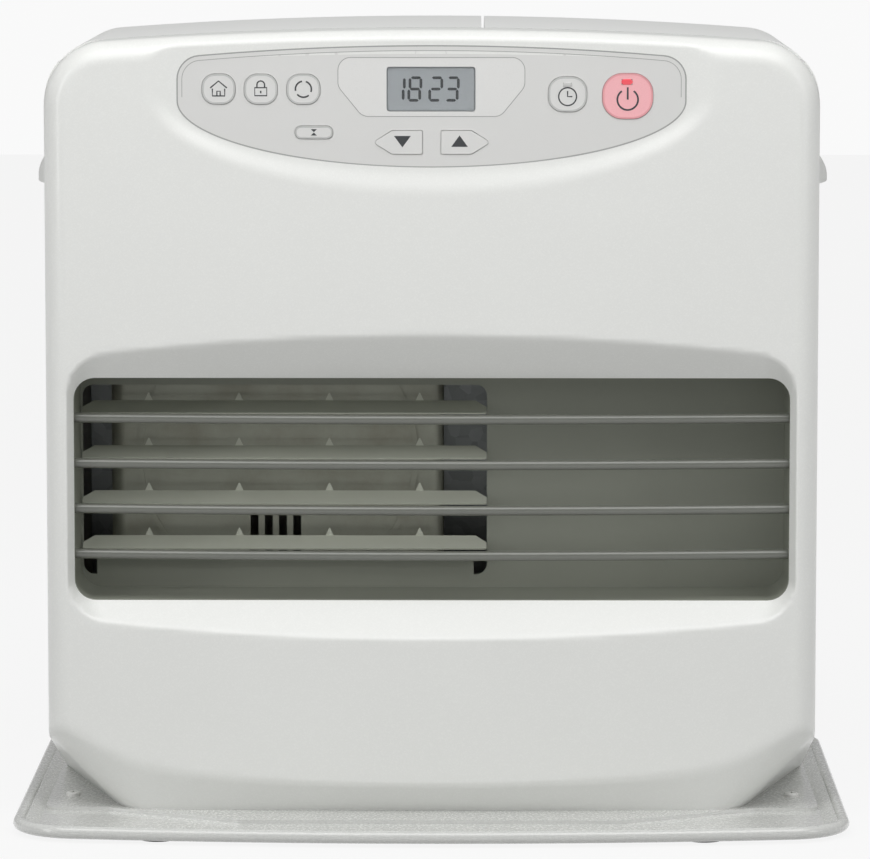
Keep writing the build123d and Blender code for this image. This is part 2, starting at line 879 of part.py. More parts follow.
# Drip tray: rolled edge, sloped border, floor and the raised middle
def tray_face(inset, back_inset):
    half = tray_half_width - inset
    front = -tray_half_depth + inset
    corner = front + sagitta(tray_front_radius, half)
    back = tray_half_depth - back_inset
    arc = ThreePointArc((-half, corner), (0, front), (half, corner))
    sides = Polyline((half, corner), (half, back), (-half, back), (-half, corner))
    face = make_face([arc, sides])
    face = fillet(face.vertices().group_by(Axis.Y)[-1], tray_back_corner_radius - back_inset)
    front_vertices = [v for v in face.vertices() if v.Y < 0 and abs(v.X) > half - 1]
    return fillet(front_vertices, tray_corner_radius - inset)


def plateau_face(inset):
    half = plateau_half_width - inset
    front = plateau_front_y + inset
    shoulder = plateau_shoulder_y + inset
    back = plateau_back_y - inset
    right = [
        (plateau_front_half, front),
        (plateau_shoulder_half, shoulder),
        (half, shoulder),
        (half, back),
    ]
    left = [(-x, y) for x, y in right[::-1]]
    face = make_face(Polyline(*right, *left, close=True))
    return fillet(face.vertices(), plateau_corner_radius - inset)


def foot_places():
    corners = [(side * tray_screw_x, tray_screw_y) for side in (-1, 1)]
    corners += [(side * rear_screw_x, rear_screw_y) for side in (-1, 1)]
    return corners


def base_tray():
    rim_inset = tray_bead_radius + 1.5
    floor_inset = rim_inset + tray_slope_run
    back_inset = 2 * tray_bead_radius
    under = tray_floor_z - tray_sheet
    top = tray_bead_z + tray_bead_radius - 1
    outer = loft(
        [
            Pos(0, 0, under) * tray_face(floor_inset, back_inset + 1),
            Pos(0, 0, top - tray_sheet) * tray_face(rim_inset, back_inset - 2),
        ],
        ruled=True,
    )
    inner = loft(
        [
            Pos(0, 0, tray_floor_z) * tray_face(floor_inset, back_inset + 1),
            Pos(0, 0, top) * tray_face(rim_inset, back_inset - 2),
        ],
        ruled=True,
    )
    bead_width = 2 * tray_bead_radius
    outline = tray_face(0, 0) - tray_face(bead_width, bead_width)
    bead = extrude(Pos(0, 0, tray_bead_z - tray_bead_radius) * outline, amount=bead_width)
    levels = bead.edges().group_by(Axis.Z)
    bead = fillet(levels[0] + levels[-1], tray_bead_radius - 0.1)
    tray = (outer - inner) + bead
    tray += extrude(Pos(0, 0, under) * plateau_face(0), amount=plateau_z - under)
    tray -= extrude(Pos(0, 0, under - 1) * plateau_face(tray_sheet), amount=plateau_z - under)
    for x, y in foot_places():
        tray -= rod_z(x, y, tray_screw_shank_radius + screw_hole_gap, 0, 2 * plateau_z)
    return tray


def rubber_feet():
    pads = [rod_z(side * front_pad_x, front_pad_y, foot_radius, 0, tray_floor_z - tray_sheet)
            for side in (-1, 1)]
    for x, y in foot_places():
        foot = rod_z(x, y, foot_radius, 0, plateau_z - tray_sheet)
        pads.append(foot - rod_z(x, y, tray_screw_shank_radius, 1.5, 2 * plateau_z))
    return pads


def tray_screw(x, y):
    seat = plateau_z
    if abs(x) < tray_screw_x:
        seat = chassis_top_z
    head_top = seat + tray_screw_head_height
    screw = rod_z(x, y, tray_screw_shank_radius, 1.5, seat)
    head = rod_z(x, y, tray_screw_head_radius, seat, head_top)
    head = fillet(head.edges().sort_by(Axis.Z)[-1], 1.2)
    cross = block(x - 2.4, x + 2.4, y - 0.55, y + 0.55, head_top - 1.3, head_top + 1)
    cross += block(x - 0.55, x + 0.55, y - 2.4, y + 2.4, head_top - 1.3, head_top + 1)
    return screw + (head - cross)


def chassis_base():
    inset = skin_wall + seam
    plate = extrude(Pos(0, 0, plateau_z) * chin_base_outline(2 * inset), amount=chassis_sheet)
    reach = body_half_width - inset
    back = body_back_y - inset
    plate &= round_box(-reach, reach, -beyond, back, 0, beyond, back_edge_radius - inset)
    for x, y in foot_places():
        plate -= rod_z(x, y, tray_screw_shank_radius + screw_hole_gap, 0, 2 * plateau_z)
    return plate


# Control panel
def button_outline(kind, grow):
    name, x, z, width, height, corner = kind
    if name in ("temperature_down_button", "temperature_up_button"):
        side = 1 if x < 0 else -1
        half = width / 2 + grow
        tall = height / 2 + grow
        points = [
            (-half * side, 0.9),
            ((-half + 9) * side, tall),
            (half * side, tall),
            (half * side, -tall),
            ((-half + 9) * side, -tall),
            (-half * side, -0.9),
        ]
        face = make_face(Polyline(*points, close=True))
        face = fillet(face.vertices(), 0.8)
        return Pos(x, z) * face
    return Pos(x, z) * RectangleRounded(width + 2 * grow, height + 2 * grow, corner + grow)


buttons = [
    ("eco_button", -117.2, plate_mid_z + 6.5, 18.2, 16.5, 7.0),
    ("key_lock_button", -93.9, plate_mid_z + 6.5, 18.2, 16.5, 7.0),
    ("circulation_button", -70.4, plate_mid_z + 6.5, 18.2, 16.5, 7.0),
    ("run_on_button", -64.7, plate_mid_z - 17.2, 20.8, 7.0, 3.3),
    ("temperature_down_button", -17.8, plate_mid_z - 22.6, 25.6, 12.8, 0.8),
    ("temperature_up_button", 18.2, plate_mid_z - 22.6, 25.6, 12.8, 0.8),
    ("timer_button", 74.9, plate_mid_z + 3.8, 21.1, 19.1, 8.0),
    ("power_button", 108.0, plate_mid_z + 2.7, 27.7, 24.9, 11.0),
]
lights = [(74.9, plate_mid_z + 9.0, 4.2, 1.7), (107.6, plate_mid_z + 10.5, 5.5, 2.6)]
plate_posts = [
    (-130.5, plate_mid_z - 1.0),
    (130.5, plate_mid_z - 1.0),
    (-42.0, plate_mid_z - 22.0),
    (45.0, plate_mid_z - 22.0),
]


def plate_surface_y(x):
    return body_front_y + dish_depth + bow(x)


def bezel_face(grow):
    half = bezel_half_width + grow
    top = bezel_top_z + grow
    low = bezel_bottom_z - grow
    right = [(half, top), (half, bezel_waist_z), (bezel_bottom_half + grow, low)]
    left = [(-x, z) for x, z in right[::-1]]
    face = make_face(Polyline(*right, *left, close=True))
    return fillet(face.vertices(), 7.0 + grow)


def display_face(grow):
    width = display_width + 2 * grow
    height = display_height + 2 * grow
    return Pos(display_x, display_z) * RectangleRounded(width, height, 1.5 + grow)


def light_face(light, grow):
    x, z, width, height = light
    return Pos(x, z) * Rectangle(width + 2 * grow, height + 2 * grow)


def control_plate():
    far = board_front_y
    near = 2 * body_front_y
    plate = front_prism(plate_face(0), near, far)
    plate &= bow_slab(dish_depth, dish_depth + plate_thickness)
    lip_depth = dish_depth + skin_wall + touch_gap
    lip = front_prism(plate_face(plate_lip), near, far) - front_prism(plate_face(-plate_lip), near, far)
    plate += lip & bow_slab(lip_depth, lip_depth + plate_lip_thickness)
    plate -= front_prism(bezel_face(touch_gap), near, far) & bow_slab(0, dish_depth + bezel_depth)
    plate -= front_prism(display_face(touch_gap), near, far)
    for kind in buttons:
        plate -= front_prism(button_outline(kind, button_gap), near, far)
    for x, z in plate_posts:
        back = plate_surface_y(x) + plate_thickness
        plate += rod_y(x, z, plate_post_radius, back - 0.5, board_front_y - touch_gap)
    return plate


def display_bezel():
    bezel = front_prism(bezel_face(0), 2 * body_front_y, board_front_y)
    bezel &= bow_slab(dish_depth, dish_depth + bezel_depth - 0.05)
    return bezel - front_prism(display_face(touch_gap), 2 * body_front_y, board_front_y)


def display_window():
    near = plate_surface_y(0)
    return front_prism(display_face(0), near + 0.1, near + 0.1 + window_thickness)


def lcd_module():
    near = plate_surface_y(0) + plate_thickness + touch_gap
    body = front_prism(display_face(3.0), near + 0.2, board_front_y - 0.05)
    glass = front_prism(display_face(-0.5), near - 0.6, near + 0.2)
    return body + glass


def push_button(kind):
    name, x, z, width, height, corner = kind
    near = 2 * body_front_y
    inside = dish_depth + plate_thickness + fit_gap
    key = front_prism(button_outline(kind, 0), near, board_front_y)
    key &= bow_slab(dish_depth - button_proud, inside + button_flange)
    flange = front_prism(button_outline(kind, button_flange), near, board_front_y)
    key += flange & bow_slab(inside, inside + button_flange)
    tip = board_front_y - switch_height - button_travel - fit_gap
    key += rod_y(x, z, stem_radius, body_front_y + inside + bow(x), tip)
    for light in lights:
        key -= front_prism(light_face(light, button_gap), near, board_front_y)
    return key


def indicator_light(light):
    near = plate_surface_y(light[0]) - button_proud
    return front_prism(light_face(light, 0), near, board_front_y - 0.05)


def control_board():
    back = board_front_y + board_thickness
    board = block(-board_half_width, board_half_width, board_front_y, back, board_bottom_z, board_top_z)
    for name, x, z, width, height, corner in buttons:
        half = switch_side / 2
        top = board_front_y - switch_height
        board += block(x - half, x + half, top + 1, board_front_y + 0.1, z - half, z + half)
        board += rod_y(x, z, 1.7, top, board_front_y)
    board += block(-60, -30, back - 0.1, back + 8, board_bottom_z + 6, board_bottom_z + 22)
    board += block(20, 44, back - 0.1, back + 3, board_bottom_z + 8, board_bottom_z + 32)
    return board


# Warm air outlet: sheet box, louvres and bowed guard rods
def outlet_box():
    front = outlet_y + skin_wall + touch_gap
    back = outlet_back_y + outlet_sheet
    box = front_prism(outlet_face(outlet_sheet), front, back)
    box -= front_prism(outlet_face(0), front - 1, outlet_back_y)
    box -= front_prism(louvre_face(0), outlet_back_y - 1, back + 1)
    lip_top = louvre_bottom_z + louvre_lip_height
    box += block(
        louvre_left_x + louvre_lip_inset,
        louvre_right_x - louvre_lip_inset,
        outlet_back_y,
        back,
        louvre_bottom_z - 1,
        lip_top,
    )
    for index in range(rod_count):
        z = rod_top_z - index * rod_pitch
        y = rod_mid_y + bow(outlet_half_width)
        box -= rod_x(y, z, rod_radius + touch_gap, -beyond, beyond)
    return box


def louvre_face(grow):
    width = louvre_right_x - louvre_left_x + 2 * grow
    height = louvre_top_z - louvre_bottom_z + 2 * grow
    mid_x = (louvre_left_x + louvre_right_x) / 2
    mid_z = (louvre_bottom_z + louvre_top_z) / 2
    return Pos(mid_x, mid_z) * RectangleRounded(width, height, louvre_corner_radius + grow)


def louvre_blade(index):
    top = blade_top_z - index * blade_pitch
    back = outlet_back_y + outlet_sheet
    front = outlet_back_y - blade_run
    slope = [
        (back, top),
        (outlet_back_y, top),
        (front, top - blade_drop),
        (front, top - blade_drop - blade_sheet),
        (outlet_back_y, top - blade_sheet),
        (outlet_back_y, top - 3 * blade_sheet),
        (back, top - 3 * blade_sheet),
    ]
    face = Plane.YZ * make_face(Polyline(*slope, close=True))
    left = louvre_left_x + touch_gap
    right = louvre_right_x - touch_gap
    blade = extrude(Pos(left, 0, 0) * face, amount=right - left)
    corner = 8.0
    for x, side in ((left, 1), (right, -1)):
        notch = make_face(
            Polyline((x, front - 1), (x + side * corner, front - 1), (x, front + corner), close=True)
        )
        blade -= extrude(Pos(0, 0, top - 12) * notch, amount=16)
    for number in range(dart_count):
        x = dart_first_x + number * dart_pitch
        half = dart_width / 2
        dart = make_face(Polyline((x - half, top - 1), (x + half, top - 1), (x, top + dart_height), close=True))
        blade += front_prism(dart, outlet_back_y, back)
    return blade


def guard_rod(index):
    z = rod_top_z - index * rod_pitch
    half = outlet_half_width + rod_end_grip
    end_y = rod_mid_y + bow(half)
    path = ThreePointArc((-half, end_y, z), (0, rod_mid_y, z), (half, end_y, z))
    section = Plane(origin=path @ 0, z_dir=path % 0) * Circle(rod_radius)
    return sweep(section, path=path)


# Warm air duct and combustion chamber
def warm_air_duct():
    front = outlet_back_y + outlet_sheet + touch_gap
    duct = block(duct_left_x, duct_right_x, front, duct_back_y, duct_bottom_z, duct_top_z)
    duct -= block(
        duct_left_x + duct_sheet,
        duct_right_x - duct_sheet,
        front + duct_sheet,
        duct_back_y + 1,
        duct_bottom_z + duct_sheet,
        duct_top_z - duct_sheet,
    )
    duct -= front_prism(louvre_face(1.0), front - 1, front + 2 * duct_sheet)
    duct -= rod_z(burner_x, burner_y, pot_flange_radius + 1, duct_bottom_z - 1, duct_bottom_z + 3)
    for x, y in electrode_places():
        duct -= rod_z(x, y, electrode_body_radius + touch_gap, duct_bottom_z - 1, duct_bottom_z + 3)
    return duct


def electrode_places():
    return [(burner_x - 58, burner_y - 20), (burner_x + 58, burner_y + 20)]


def combustion_chamber():
    chamber = round_box(
        chamber_left_x,
        chamber_right_x,
        chamber_front_y,
        chamber_back_y,
        chamber_bottom_z,
        chamber_top_z,
        chamber_corner_radius,
    )
    chamber -= round_box(
        chamber_left_x + chamber_sheet,
        chamber_right_x - chamber_sheet,
        chamber_front_y + chamber_sheet,
        chamber_back_y - chamber_sheet,
        chamber_bottom_z + chamber_sheet,
        chamber_top_z - chamber_sheet,
        chamber_corner_radius - chamber_sheet,
    )
    raised = rod_y(emboss_x, emboss_z, emboss_radius, chamber_front_y - emboss_height, chamber_front_y + 0.2)
    raised -= rod_y(
        emboss_x, emboss_z, emboss_radius - emboss_width, chamber_front_y - 5, chamber_front_y + 5
    )
    raised &= block(
        chamber_left_x + chamber_corner_radius,
        chamber_right_x - chamber_corner_radius,
        chamber_front_y - 5,
        chamber_front_y + 5,
        chamber_bottom_z + 2,
        chamber_top_z - 2,
    )
    chamber += raised
    for index in range(slot_count):
        x = slot_first_x + index * slot_pitch
        chamber -= block(
            x - slot_width / 2,
            x + slot_width / 2,
            chamber_front_y - 3,
            chamber_front_y + 3,
            slot_bottom_z,
            slot_top_z,
        )
    chamber -= rod_z(burner_x, burner_y, pot_radius - 6, chamber_bottom_z - 1, chamber_bottom_z + 3)
    for x, y in electrode_places():
        chamber -= rod_z(x, y, electrode_body_radius + touch_gap, chamber_bottom_z - 1, chamber_bottom_z + 3)
    for x in (chamber_left_x + 20, chamber_right_x - 20):
        for y in (chamber_front_y + 20, chamber_back_y - 20):
            chamber += rod_z(x, y, 5, duct_bottom_z + duct_sheet, chamber_bottom_z + 0.5)
    return chamber


def burner_pot():
    low = air_box_top_z + touch_gap
    high = chamber_bottom_z - 0.1
    pot = rod_z(burner_x, burner_y, pot_radius, low, high)
    pot -= rod_z(burner_x, burner_y, pot_radius - pot_wall, low + pot_wall, high + 1)
    flange = rod_z(burner_x, burner_y, pot_flange_radius, high - 1.6, high)
    flange -= rod_z(burner_x, burner_y, pot_radius - pot_wall, low, high + 1)
    pot += flange
    pot -= rod_x(burner_y, vaporizer_z, nozzle_tip_radius + touch_gap, burner_x, burner_x + 2 * pot_radius)
    for index in range(pot_hole_count):
        turn = 2 * math.pi * index / pot_hole_count
        x = burner_x + 14 * math.cos(turn)
        y = burner_y + 14 * math.sin(turn)
        pot -= rod_z(x, y, 3, low - 1, low + 2 * pot_wall)
    return pot


def burner_ring():
    low = air_box_top_z + touch_gap + pot_wall
    ring = rod_z(burner_x, burner_y, ring_radius, low, ring_top_z)
    ring -= rod_z(burner_x, burner_y, ring_radius - ring_wall, low - 1, ring_top_z + 1)
    for index in range(ring_hole_count // 2):
        turn = 360 * index / ring_hole_count
        hole = Pos(burner_x, burner_y, ring_top_z - 6) * Rot(0, 0, turn) * Rot(0, 90, 0)
        ring -= hole * Cylinder(1.6, 4 * ring_radius)
    return ring


def air_box():
    low = chassis_seat_z
    box = block(air_box_left_x, air_box_right_x, air_box_front_y, air_box_back_y, low, air_box_top_z)
    box -= block(
        air_box_left_x + air_box_sheet,
        air_box_right_x - air_box_sheet,
        air_box_front_y + air_box_sheet,
        air_box_back_y - air_box_sheet,
        low + air_box_sheet,
        air_box_top_z - air_box_sheet,
    )
    box -= rod_z(burner_x, burner_y, 20, air_box_top_z - 3, air_box_top_z + 3)
    neck_y0, neck_y1, neck_z0, neck_z1 = blower_neck()
    box -= block(
        air_box_left_x - 1, air_box_left_x + 3, neck_y0 + 1.5, neck_y1 - 1.5, neck_z0 + 1.5, neck_z1 - 1.5
    )
    return box


def blower_neck():
    low = blower_z - blower_radius
    return blower_front_y + 2, blower_back_y - 2, low + 2, low + 20


def blower_housing():
    neck_y0, neck_y1, neck_z0, neck_z1 = blower_neck()
    neck_end = air_box_left_x - 0.1
    housing = rod_y(blower_x, blower_z, blower_radius, blower_front_y, blower_back_y)
    housing += block(blower_x, neck_end, neck_y0, neck_y1, neck_z0, neck_z1)
    hollow = rod_y(
        blower_x,
        blower_z,
        blower_radius - blower_sheet,
        blower_front_y + blower_sheet,
        blower_back_y - blower_sheet,
    )
    hollow += block(
        blower_x,
        neck_end + 1,
        neck_y0 + blower_sheet,
        neck_y1 - blower_sheet,
        neck_z0 + blower_sheet,
        neck_z1 - blower_sheet,
    )
    housing -= hollow
    housing -= rod_y(blower_x, blower_z, 18, blower_back_y - 3, blower_back_y + 3)
    housing -= rod_y(blower_x, blower_z, 2 * blower_shaft_radius, blower_front_y - 3, blower_front_y + 3)
    housing += block(
        blower_x - 10,
        blower_x + 10,
        blower_front_y + 4,
        blower_back_y - 4,
        chassis_seat_z,
        blower_z - blower_radius + 1,
    )
    return housing


def blower_wheel():
    y0 = blower_front_y + blower_sheet + 3
    y1 = blower_back_y - blower_sheet - 3
    wheel = rod_y(blower_x, blower_z, blower_wheel_radius, y0, y0 + 1.5)
    wheel += rod_y(blower_x, blower_z, 7, y0, y0 + 8)
    rim = rod_y(blower_x, blower_z, blower_wheel_radius, y1 - 1.5, y1)
    rim -= rod_y(blower_x, blower_z, blower_wheel_radius - 5, y1 - 3, y1 + 1)
    wheel += rim
    for index in range(blower_vane_count):
        turn = 360 * index / blower_vane_count
        vane = Pos(blower_wheel_radius - 2.8, 0, 0) * Rot(0, 25, 0) * Box(4.2, y1 - y0, 0.8)
        place = Pos(blower_x, (y0 + y1) / 2, blower_z) * Rot(0, turn, 0)
        wheel += place * vane
    shaft_start = blower_motor_front_y + 4
    wheel += rod_y(blower_x, blower_z, blower_shaft_radius, shaft_start, y0 + 4)
    return wheel


def blower_motor():
    back = blower_front_y - 0.1
    motor = rod_y(blower_x, blower_z, blower_motor_radius, blower_motor_front_y, back - 1.5)
    motor += rod_y(blower_x, blower_z, blower_motor_radius + 5, back - 2, back)
    bore = blower_shaft_radius + running_gap
    motor -= rod_y(blower_x, blower_z, bore, blower_motor_front_y + 3, back + 1)
    return motor


def vaporizer():
    body = rod_x(burner_y, vaporizer_z, vaporizer_radius, vaporizer_left_x, vaporizer_right_x)
    body += rod_x(burner_y, vaporizer_z, 4, vaporizer_right_x - 1, vaporizer_right_x + 6)
    mid_x = (vaporizer_left_x + vaporizer_right_x) / 2
    body += block(
        mid_x - 8, mid_x + 8, burner_y - 6, burner_y + 6, chassis_seat_z, vaporizer_z - vaporizer_radius + 2
    )
    body += block(
        mid_x - 14, mid_x + 14, burner_y - 12, burner_y + 12, chassis_seat_z, chassis_seat_z + 2
    )
    for x in (vaporizer_left_x + 10, vaporizer_right_x - 10):
        body += rod_x(burner_y, vaporizer_z, vaporizer_radius + 2, x - 2, x + 2)
    return body


def nozzle():
    tip_end = burner_x + pot_radius - pot_wall - 2
    step = burner_x + pot_radius + 1
    piece = rod_x(burner_y, vaporizer_z, nozzle_radius, step, vaporizer_left_x)
    piece += rod_x(burner_y, vaporizer_z, nozzle_tip_radius, tip_end, step)
    return piece - rod_x(burner_y, vaporizer_z, 0.6, tip_end - 1, vaporizer_left_x - 3)


def electrode(x, y, height):
    low = duct_bottom_z
    piece = rod_z(x, y, electrode_body_radius, low - 14, chamber_bottom_z + 8)
    piece += rod_z(x, y, electrode_body_radius + 3, low - 1.8, low - 0.1)
    piece += rod_z(x, y, electrode_rod_radius, chamber_bottom_z + 7, chamber_bottom_z + height)
    return piece


# Room air fan at the back
def fan_ring():
    front = duct_back_y + touch_gap
    back = body_back_y - skin_wall - touch_gap
    plate = block(duct_left_x, duct_right_x, front, front + 1.2, duct_bottom_z, duct_top_z)
    ring = rod_y(fan_x, fan_z, fan_ring_radius, front, back)
    flange = rod_y(fan_x, fan_z, fan_ring_radius + 9, back - 1.2, back)
    hole = rod_y(fan_x, fan_z, fan_ring_radius - 1.2, front - 1, back + 1)
    piece = plate + ring + flange - hole
    arm_front = front + 1
    reach = fan_ring_radius - 0.6
    arms = Pos(fan_x, arm_front + 1.5, fan_z) * Box(2 * reach, 3, fan_arm_width)
    arms += Pos(fan_x, arm_front + 1.5, fan_z) * Box(fan_arm_width, 3, 2 * reach)
    arms -= rod_y(fan_x, fan_z, fan_motor_radius + touch_gap, arm_front - 1, arm_front + 9)
    return piece + arms


def fan_motor():
    motor = rod_y(fan_x, fan_z, fan_motor_radius, fan_motor_front_y, fan_motor_back_y)
    motor += rod_y(fan_x, fan_z, 9, fan_motor_back_y - 1, fan_motor_back_y + 2.5)
    bore = fan_shaft_radius + running_gap
    return motor - rod_y(fan_x, fan_z, bore, fan_motor_front_y + 3, fan_motor_back_y + 9)


def fan_impeller():
    back = fan_front_y + fan_depth
    wheel = rod_y(fan_x, fan_z, fan_hub_radius, fan_front_y, back)
    middle = (fan_front_y + back) / 2
    for index in range(fan_blade_count):
        turn = 360 * index / fan_blade_count
        length = fan_blade_radius - 6
        blade = Pos(length / 2 + 6, 0, 0) * Rot(fan_blade_pitch_deg, 0, 0)
        blade = blade * Box(length, 1.6, fan_blade_width)
        wheel += Pos(fan_x, middle, fan_z) * Rot(0, turn, 0) * blade
    wheel &= rod_y(fan_x, fan_z, fan_blade_radius, fan_front_y - 2, back + 2)
    wheel += rod_y(fan_x, fan_z, fan_shaft_radius, fan_motor_front_y + 4, fan_front_y + 5)
    return wheel


def fan_guard():
    y = body_back_y + guard_wire_radius
    guard = None
    for index in range(guard_ring_count):
        radius = (fan_ring_radius + 2) * (index + 1) / guard_ring_count
        ring = Pos(fan_x, y, fan_z) * Rot(90, 0, 0) * Torus(radius, guard_wire_radius)
        guard = ring if guard is None else guard + ring
    for index in range(guard_spoke_count // 2):
        turn = 360 * index / guard_spoke_count
        spoke = Cylinder(guard_wire_radius, 2 * (fan_ring_radius + 2))
        guard += Pos(fan_x, y, fan_z) * Rot(0, turn, 0) * spoke
    return guard


def air_filter():
    front = filter_front_y
    back = filter_back_y
    half = filter_half_width
    frame = block(fan_x - half, fan_x + half, front, back, fan_z - half, fan_z + half)
    inner = half - filter_border
    frame -= block(fan_x - inner, fan_x + inner, front - 1, back + 1, fan_z - inner, fan_z + inner)
    pitch = 2 * inner / filter_mesh_count
    mesh_back = filter_mesh_y + filter_bar
    bars = []
    for index in range(1, filter_mesh_count):
        offset = -inner + index * pitch
        x = fan_x + offset
        z = fan_z + offset
        edge = filter_bar / 2
        bars.append(
            block(x - edge, x + edge, filter_mesh_y, mesh_back, fan_z - inner - 1, fan_z + inner + 1)
        )
        bars.append(
            block(fan_x - inner - 1, fan_x + inner + 1, filter_mesh_y, mesh_back, z - edge, z + edge)
        )
    bars.append(
        block(fan_x - 14, fan_x + 14, back - 0.5, back + 1.6, fan_z + half - 6, fan_z + half - 1)
    )
    return frame + bars


# Fuel parts
def tank_well():
    low = chassis_seat_z
    well = block(well_left_x, well_right_x, well_front_y, well_back_y, low, well_top_z)
    well -= block(
        well_left_x + well_sheet,
        well_right_x - well_sheet,
        well_front_y + well_sheet,
        well_back_y - well_sheet,
        low - 1,
        well_top_z + 1,
    )
    shelf = block(
        well_left_x + 0.5, well_right_x - 0.5, well_front_y + 0.5, well_back_y - 0.5, well_shelf_z, well_shelf_z + 1
    )
    shelf -= rod_z(filler_x, filler_y, socket_radius + 5, well_shelf_z - 1, well_shelf_z + 3)
    well += shelf
    well -= rod_y(pump_x, sump_pipe_z(), pipe_radius + touch_gap, well_front_y - 1, well_front_y + 3)
    return well


def sump_pipe_z():
    return chassis_seat_z + 14


def sump_tank():
    low = chassis_seat_z
    x0 = well_left_x + well_sheet + sump_gap
    x1 = well_right_x - well_sheet - sump_gap
    y0 = well_front_y + well_sheet + sump_gap
    y1 = well_back_y - well_sheet - sump_gap
    sump = round_box(x0, x1, y0, y1, low, sump_top_z, 12)
    sump = fillet(sump.faces().sort_by(Axis.Z)[0].edges(), sump_edge_radius)
    hollow = round_box(x0 + 1.2, x1 - 1.2, y0 + 1.2, y1 - 1.2, low + 1.2, sump_top_z - 1.2, 10.8)
    hollow = fillet(hollow.faces().sort_by(Axis.Z)[0].edges(), sump_edge_radius - 1.2)
    sump -= hollow
    sump += rod_z(filler_x, filler_y, socket_radius + 2, sump_top_z - 1, sump_top_z + socket_height)
    sump -= rod_z(filler_x, filler_y, socket_radius, sump_top_z - 3, sump_top_z + socket_height + 1)
    pin = rod_z(filler_x, filler_y, 2.2, low + 1, cap_bottom_z + 1.5)
    pin -= rod_z(filler_x, filler_y, 3.0, 0, low + 1)
    sump += pin
    sump += rod_z(filler_x, filler_y, 8, low + 0.8, low + 3)
    return sump


def cartridge_tank():
    x0 = well_left_x + well_sheet + tank_gap
    x1 = well_right_x - well_sheet - tank_gap
    y0 = well_front_y + well_sheet + tank_gap
    y1 = well_back_y - well_sheet - tank_gap
    low = well_shelf_z + 1 + touch_gap
    tank = round_box(x0, x1, y0, y1, low, tank_top_z, tank_corner_radius)
    ends = tank.faces().sort_by(Axis.Z)
    tank = fillet(ends[0].edges() + ends[-1].edges(), tank_edge_radius)
    hollow = round_box(
        x0 + tank_sheet,
        x1 - tank_sheet,
        y0 + tank_sheet,
        y1 - tank_sheet,
        low + tank_sheet,
        tank_top_z - tank_sheet,
        tank_corner_radius - tank_sheet,
    )
    ends = hollow.faces().sort_by(Axis.Z)
    hollow = fillet(ends[0].edges() + ends[-1].edges(), tank_edge_radius - tank_sheet)
    tank -= hollow
    tank += rod_z(filler_x, filler_y, neck_radius, cap_bottom_z + 6, low + 0.5)
    tank -= rod_z(filler_x, filler_y, neck_radius - 1.5, cap_bottom_z, low + 2)
    for x in ear_places():
        ear = rod_x(handle_y, handle_z, 5, x, x + ear_sheet)
        ear += block(x, x + ear_sheet, handle_y - 5, handle_y + 5, tank_top_z - 0.5, handle_z)
        ear -= rod_x(handle_y, handle_z, handle_wire_radius + running_gap, x - 1, x + ear_sheet + 1)
        tank += ear
    return tank


def ear_places():
    left = handle_left_x - handle_bend - fit_gap - ear_sheet
    right = handle_right_x + handle_bend + fit_gap
    return [left, right]


def tank_cap():
    top = well_shelf_z + 1 - 0.2
    cap = rod_z(filler_x, filler_y, cap_radius, cap_bottom_z, top)
    cap -= rod_z(filler_x, filler_y, neck_radius + 0.05, cap_bottom_z + 3, top + 1)
    cap -= rod_z(filler_x, filler_y, 3.2, cap_bottom_z - 1, cap_bottom_z + 4)
    for index in range(24):
        turn = 2 * math.pi * index / 24
        x = filler_x + cap_radius * math.cos(turn)
        y = filler_y + cap_radius * math.sin(turn)
        cap -= rod_z(x, y, 0.8, cap_bottom_z + 2, top + 1)
    return cap


def tank_handle():
    ear_left, ear_right = ear_places()
    front = handle_y - handle_reach
    points = [
        (ear_left - 1.5, handle_y, handle_z),
        (handle_left_x, handle_y, handle_z),
        (handle_left_x, front, handle_z),
        (handle_right_x, front, handle_z),
        (handle_right_x, handle_y, handle_z),
        (ear_right + ear_sheet + 1.5, handle_y, handle_z),
    ]
    path = FilletPolyline(*points, radius=handle_bend)
    section = Plane(origin=path @ 0, z_dir=path % 0) * Circle(handle_wire_radius)
    bail = sweep(section, path=path)
    clear = handle_bend + 2
    bail += rod_x(
        front, handle_z, handle_grip_radius, handle_left_x + clear, handle_right_x - clear
    )
    return bail


def fuel_pump():
    low = chassis_seat_z
    pump = rod_z(pump_x, pump_y, pump_radius, low + 6, pump_top_z)
    pump += rod_z(pump_x, pump_y, 6, pump_top_z - 1, pump_top_z + 4)
    pump += block(pump_x - 20, pump_x + 20, pump_y - 18, pump_y + 18, low, low + 2)
    pump += rod_z(pump_x, pump_y, 10, low, low + 7)
    pump += rod_z(pump_x, pump_y, pump_radius + 2, low + 22, low + 26)
    pump += rod_z(pump_x, pump_y, pump_radius + 2, pump_top_z - 10, pump_top_z - 6)
    return pump


def fuel_pipes():
    start = (pump_x, pump_y, pump_top_z + 4 + touch_gap)
    points = [
        start,
        (pump_x, pump_y, pipe_run_z),
        (pipe_run_x + 6, pump_y, pipe_run_z),
        (pipe_run_x + 6, burner_y, pipe_run_z),
        (pipe_run_x + 6, burner_y, vaporizer_z),
        (vaporizer_right_x + 6, burner_y, vaporizer_z),
    ]
    path = FilletPolyline(*points, radius=5)
    section = Plane(origin=path @ 0, z_dir=path % 0) * Circle(pipe_radius)
    delivery = sweep(section, path=path)
    pump_side = pump_y + pump_radius + touch_gap
    sump_side = well_front_y + well_sheet + sump_gap
    suction = rod_y(pump_x, sump_pipe_z(), pipe_radius, pump_side, sump_side)
    return [delivery, suction]


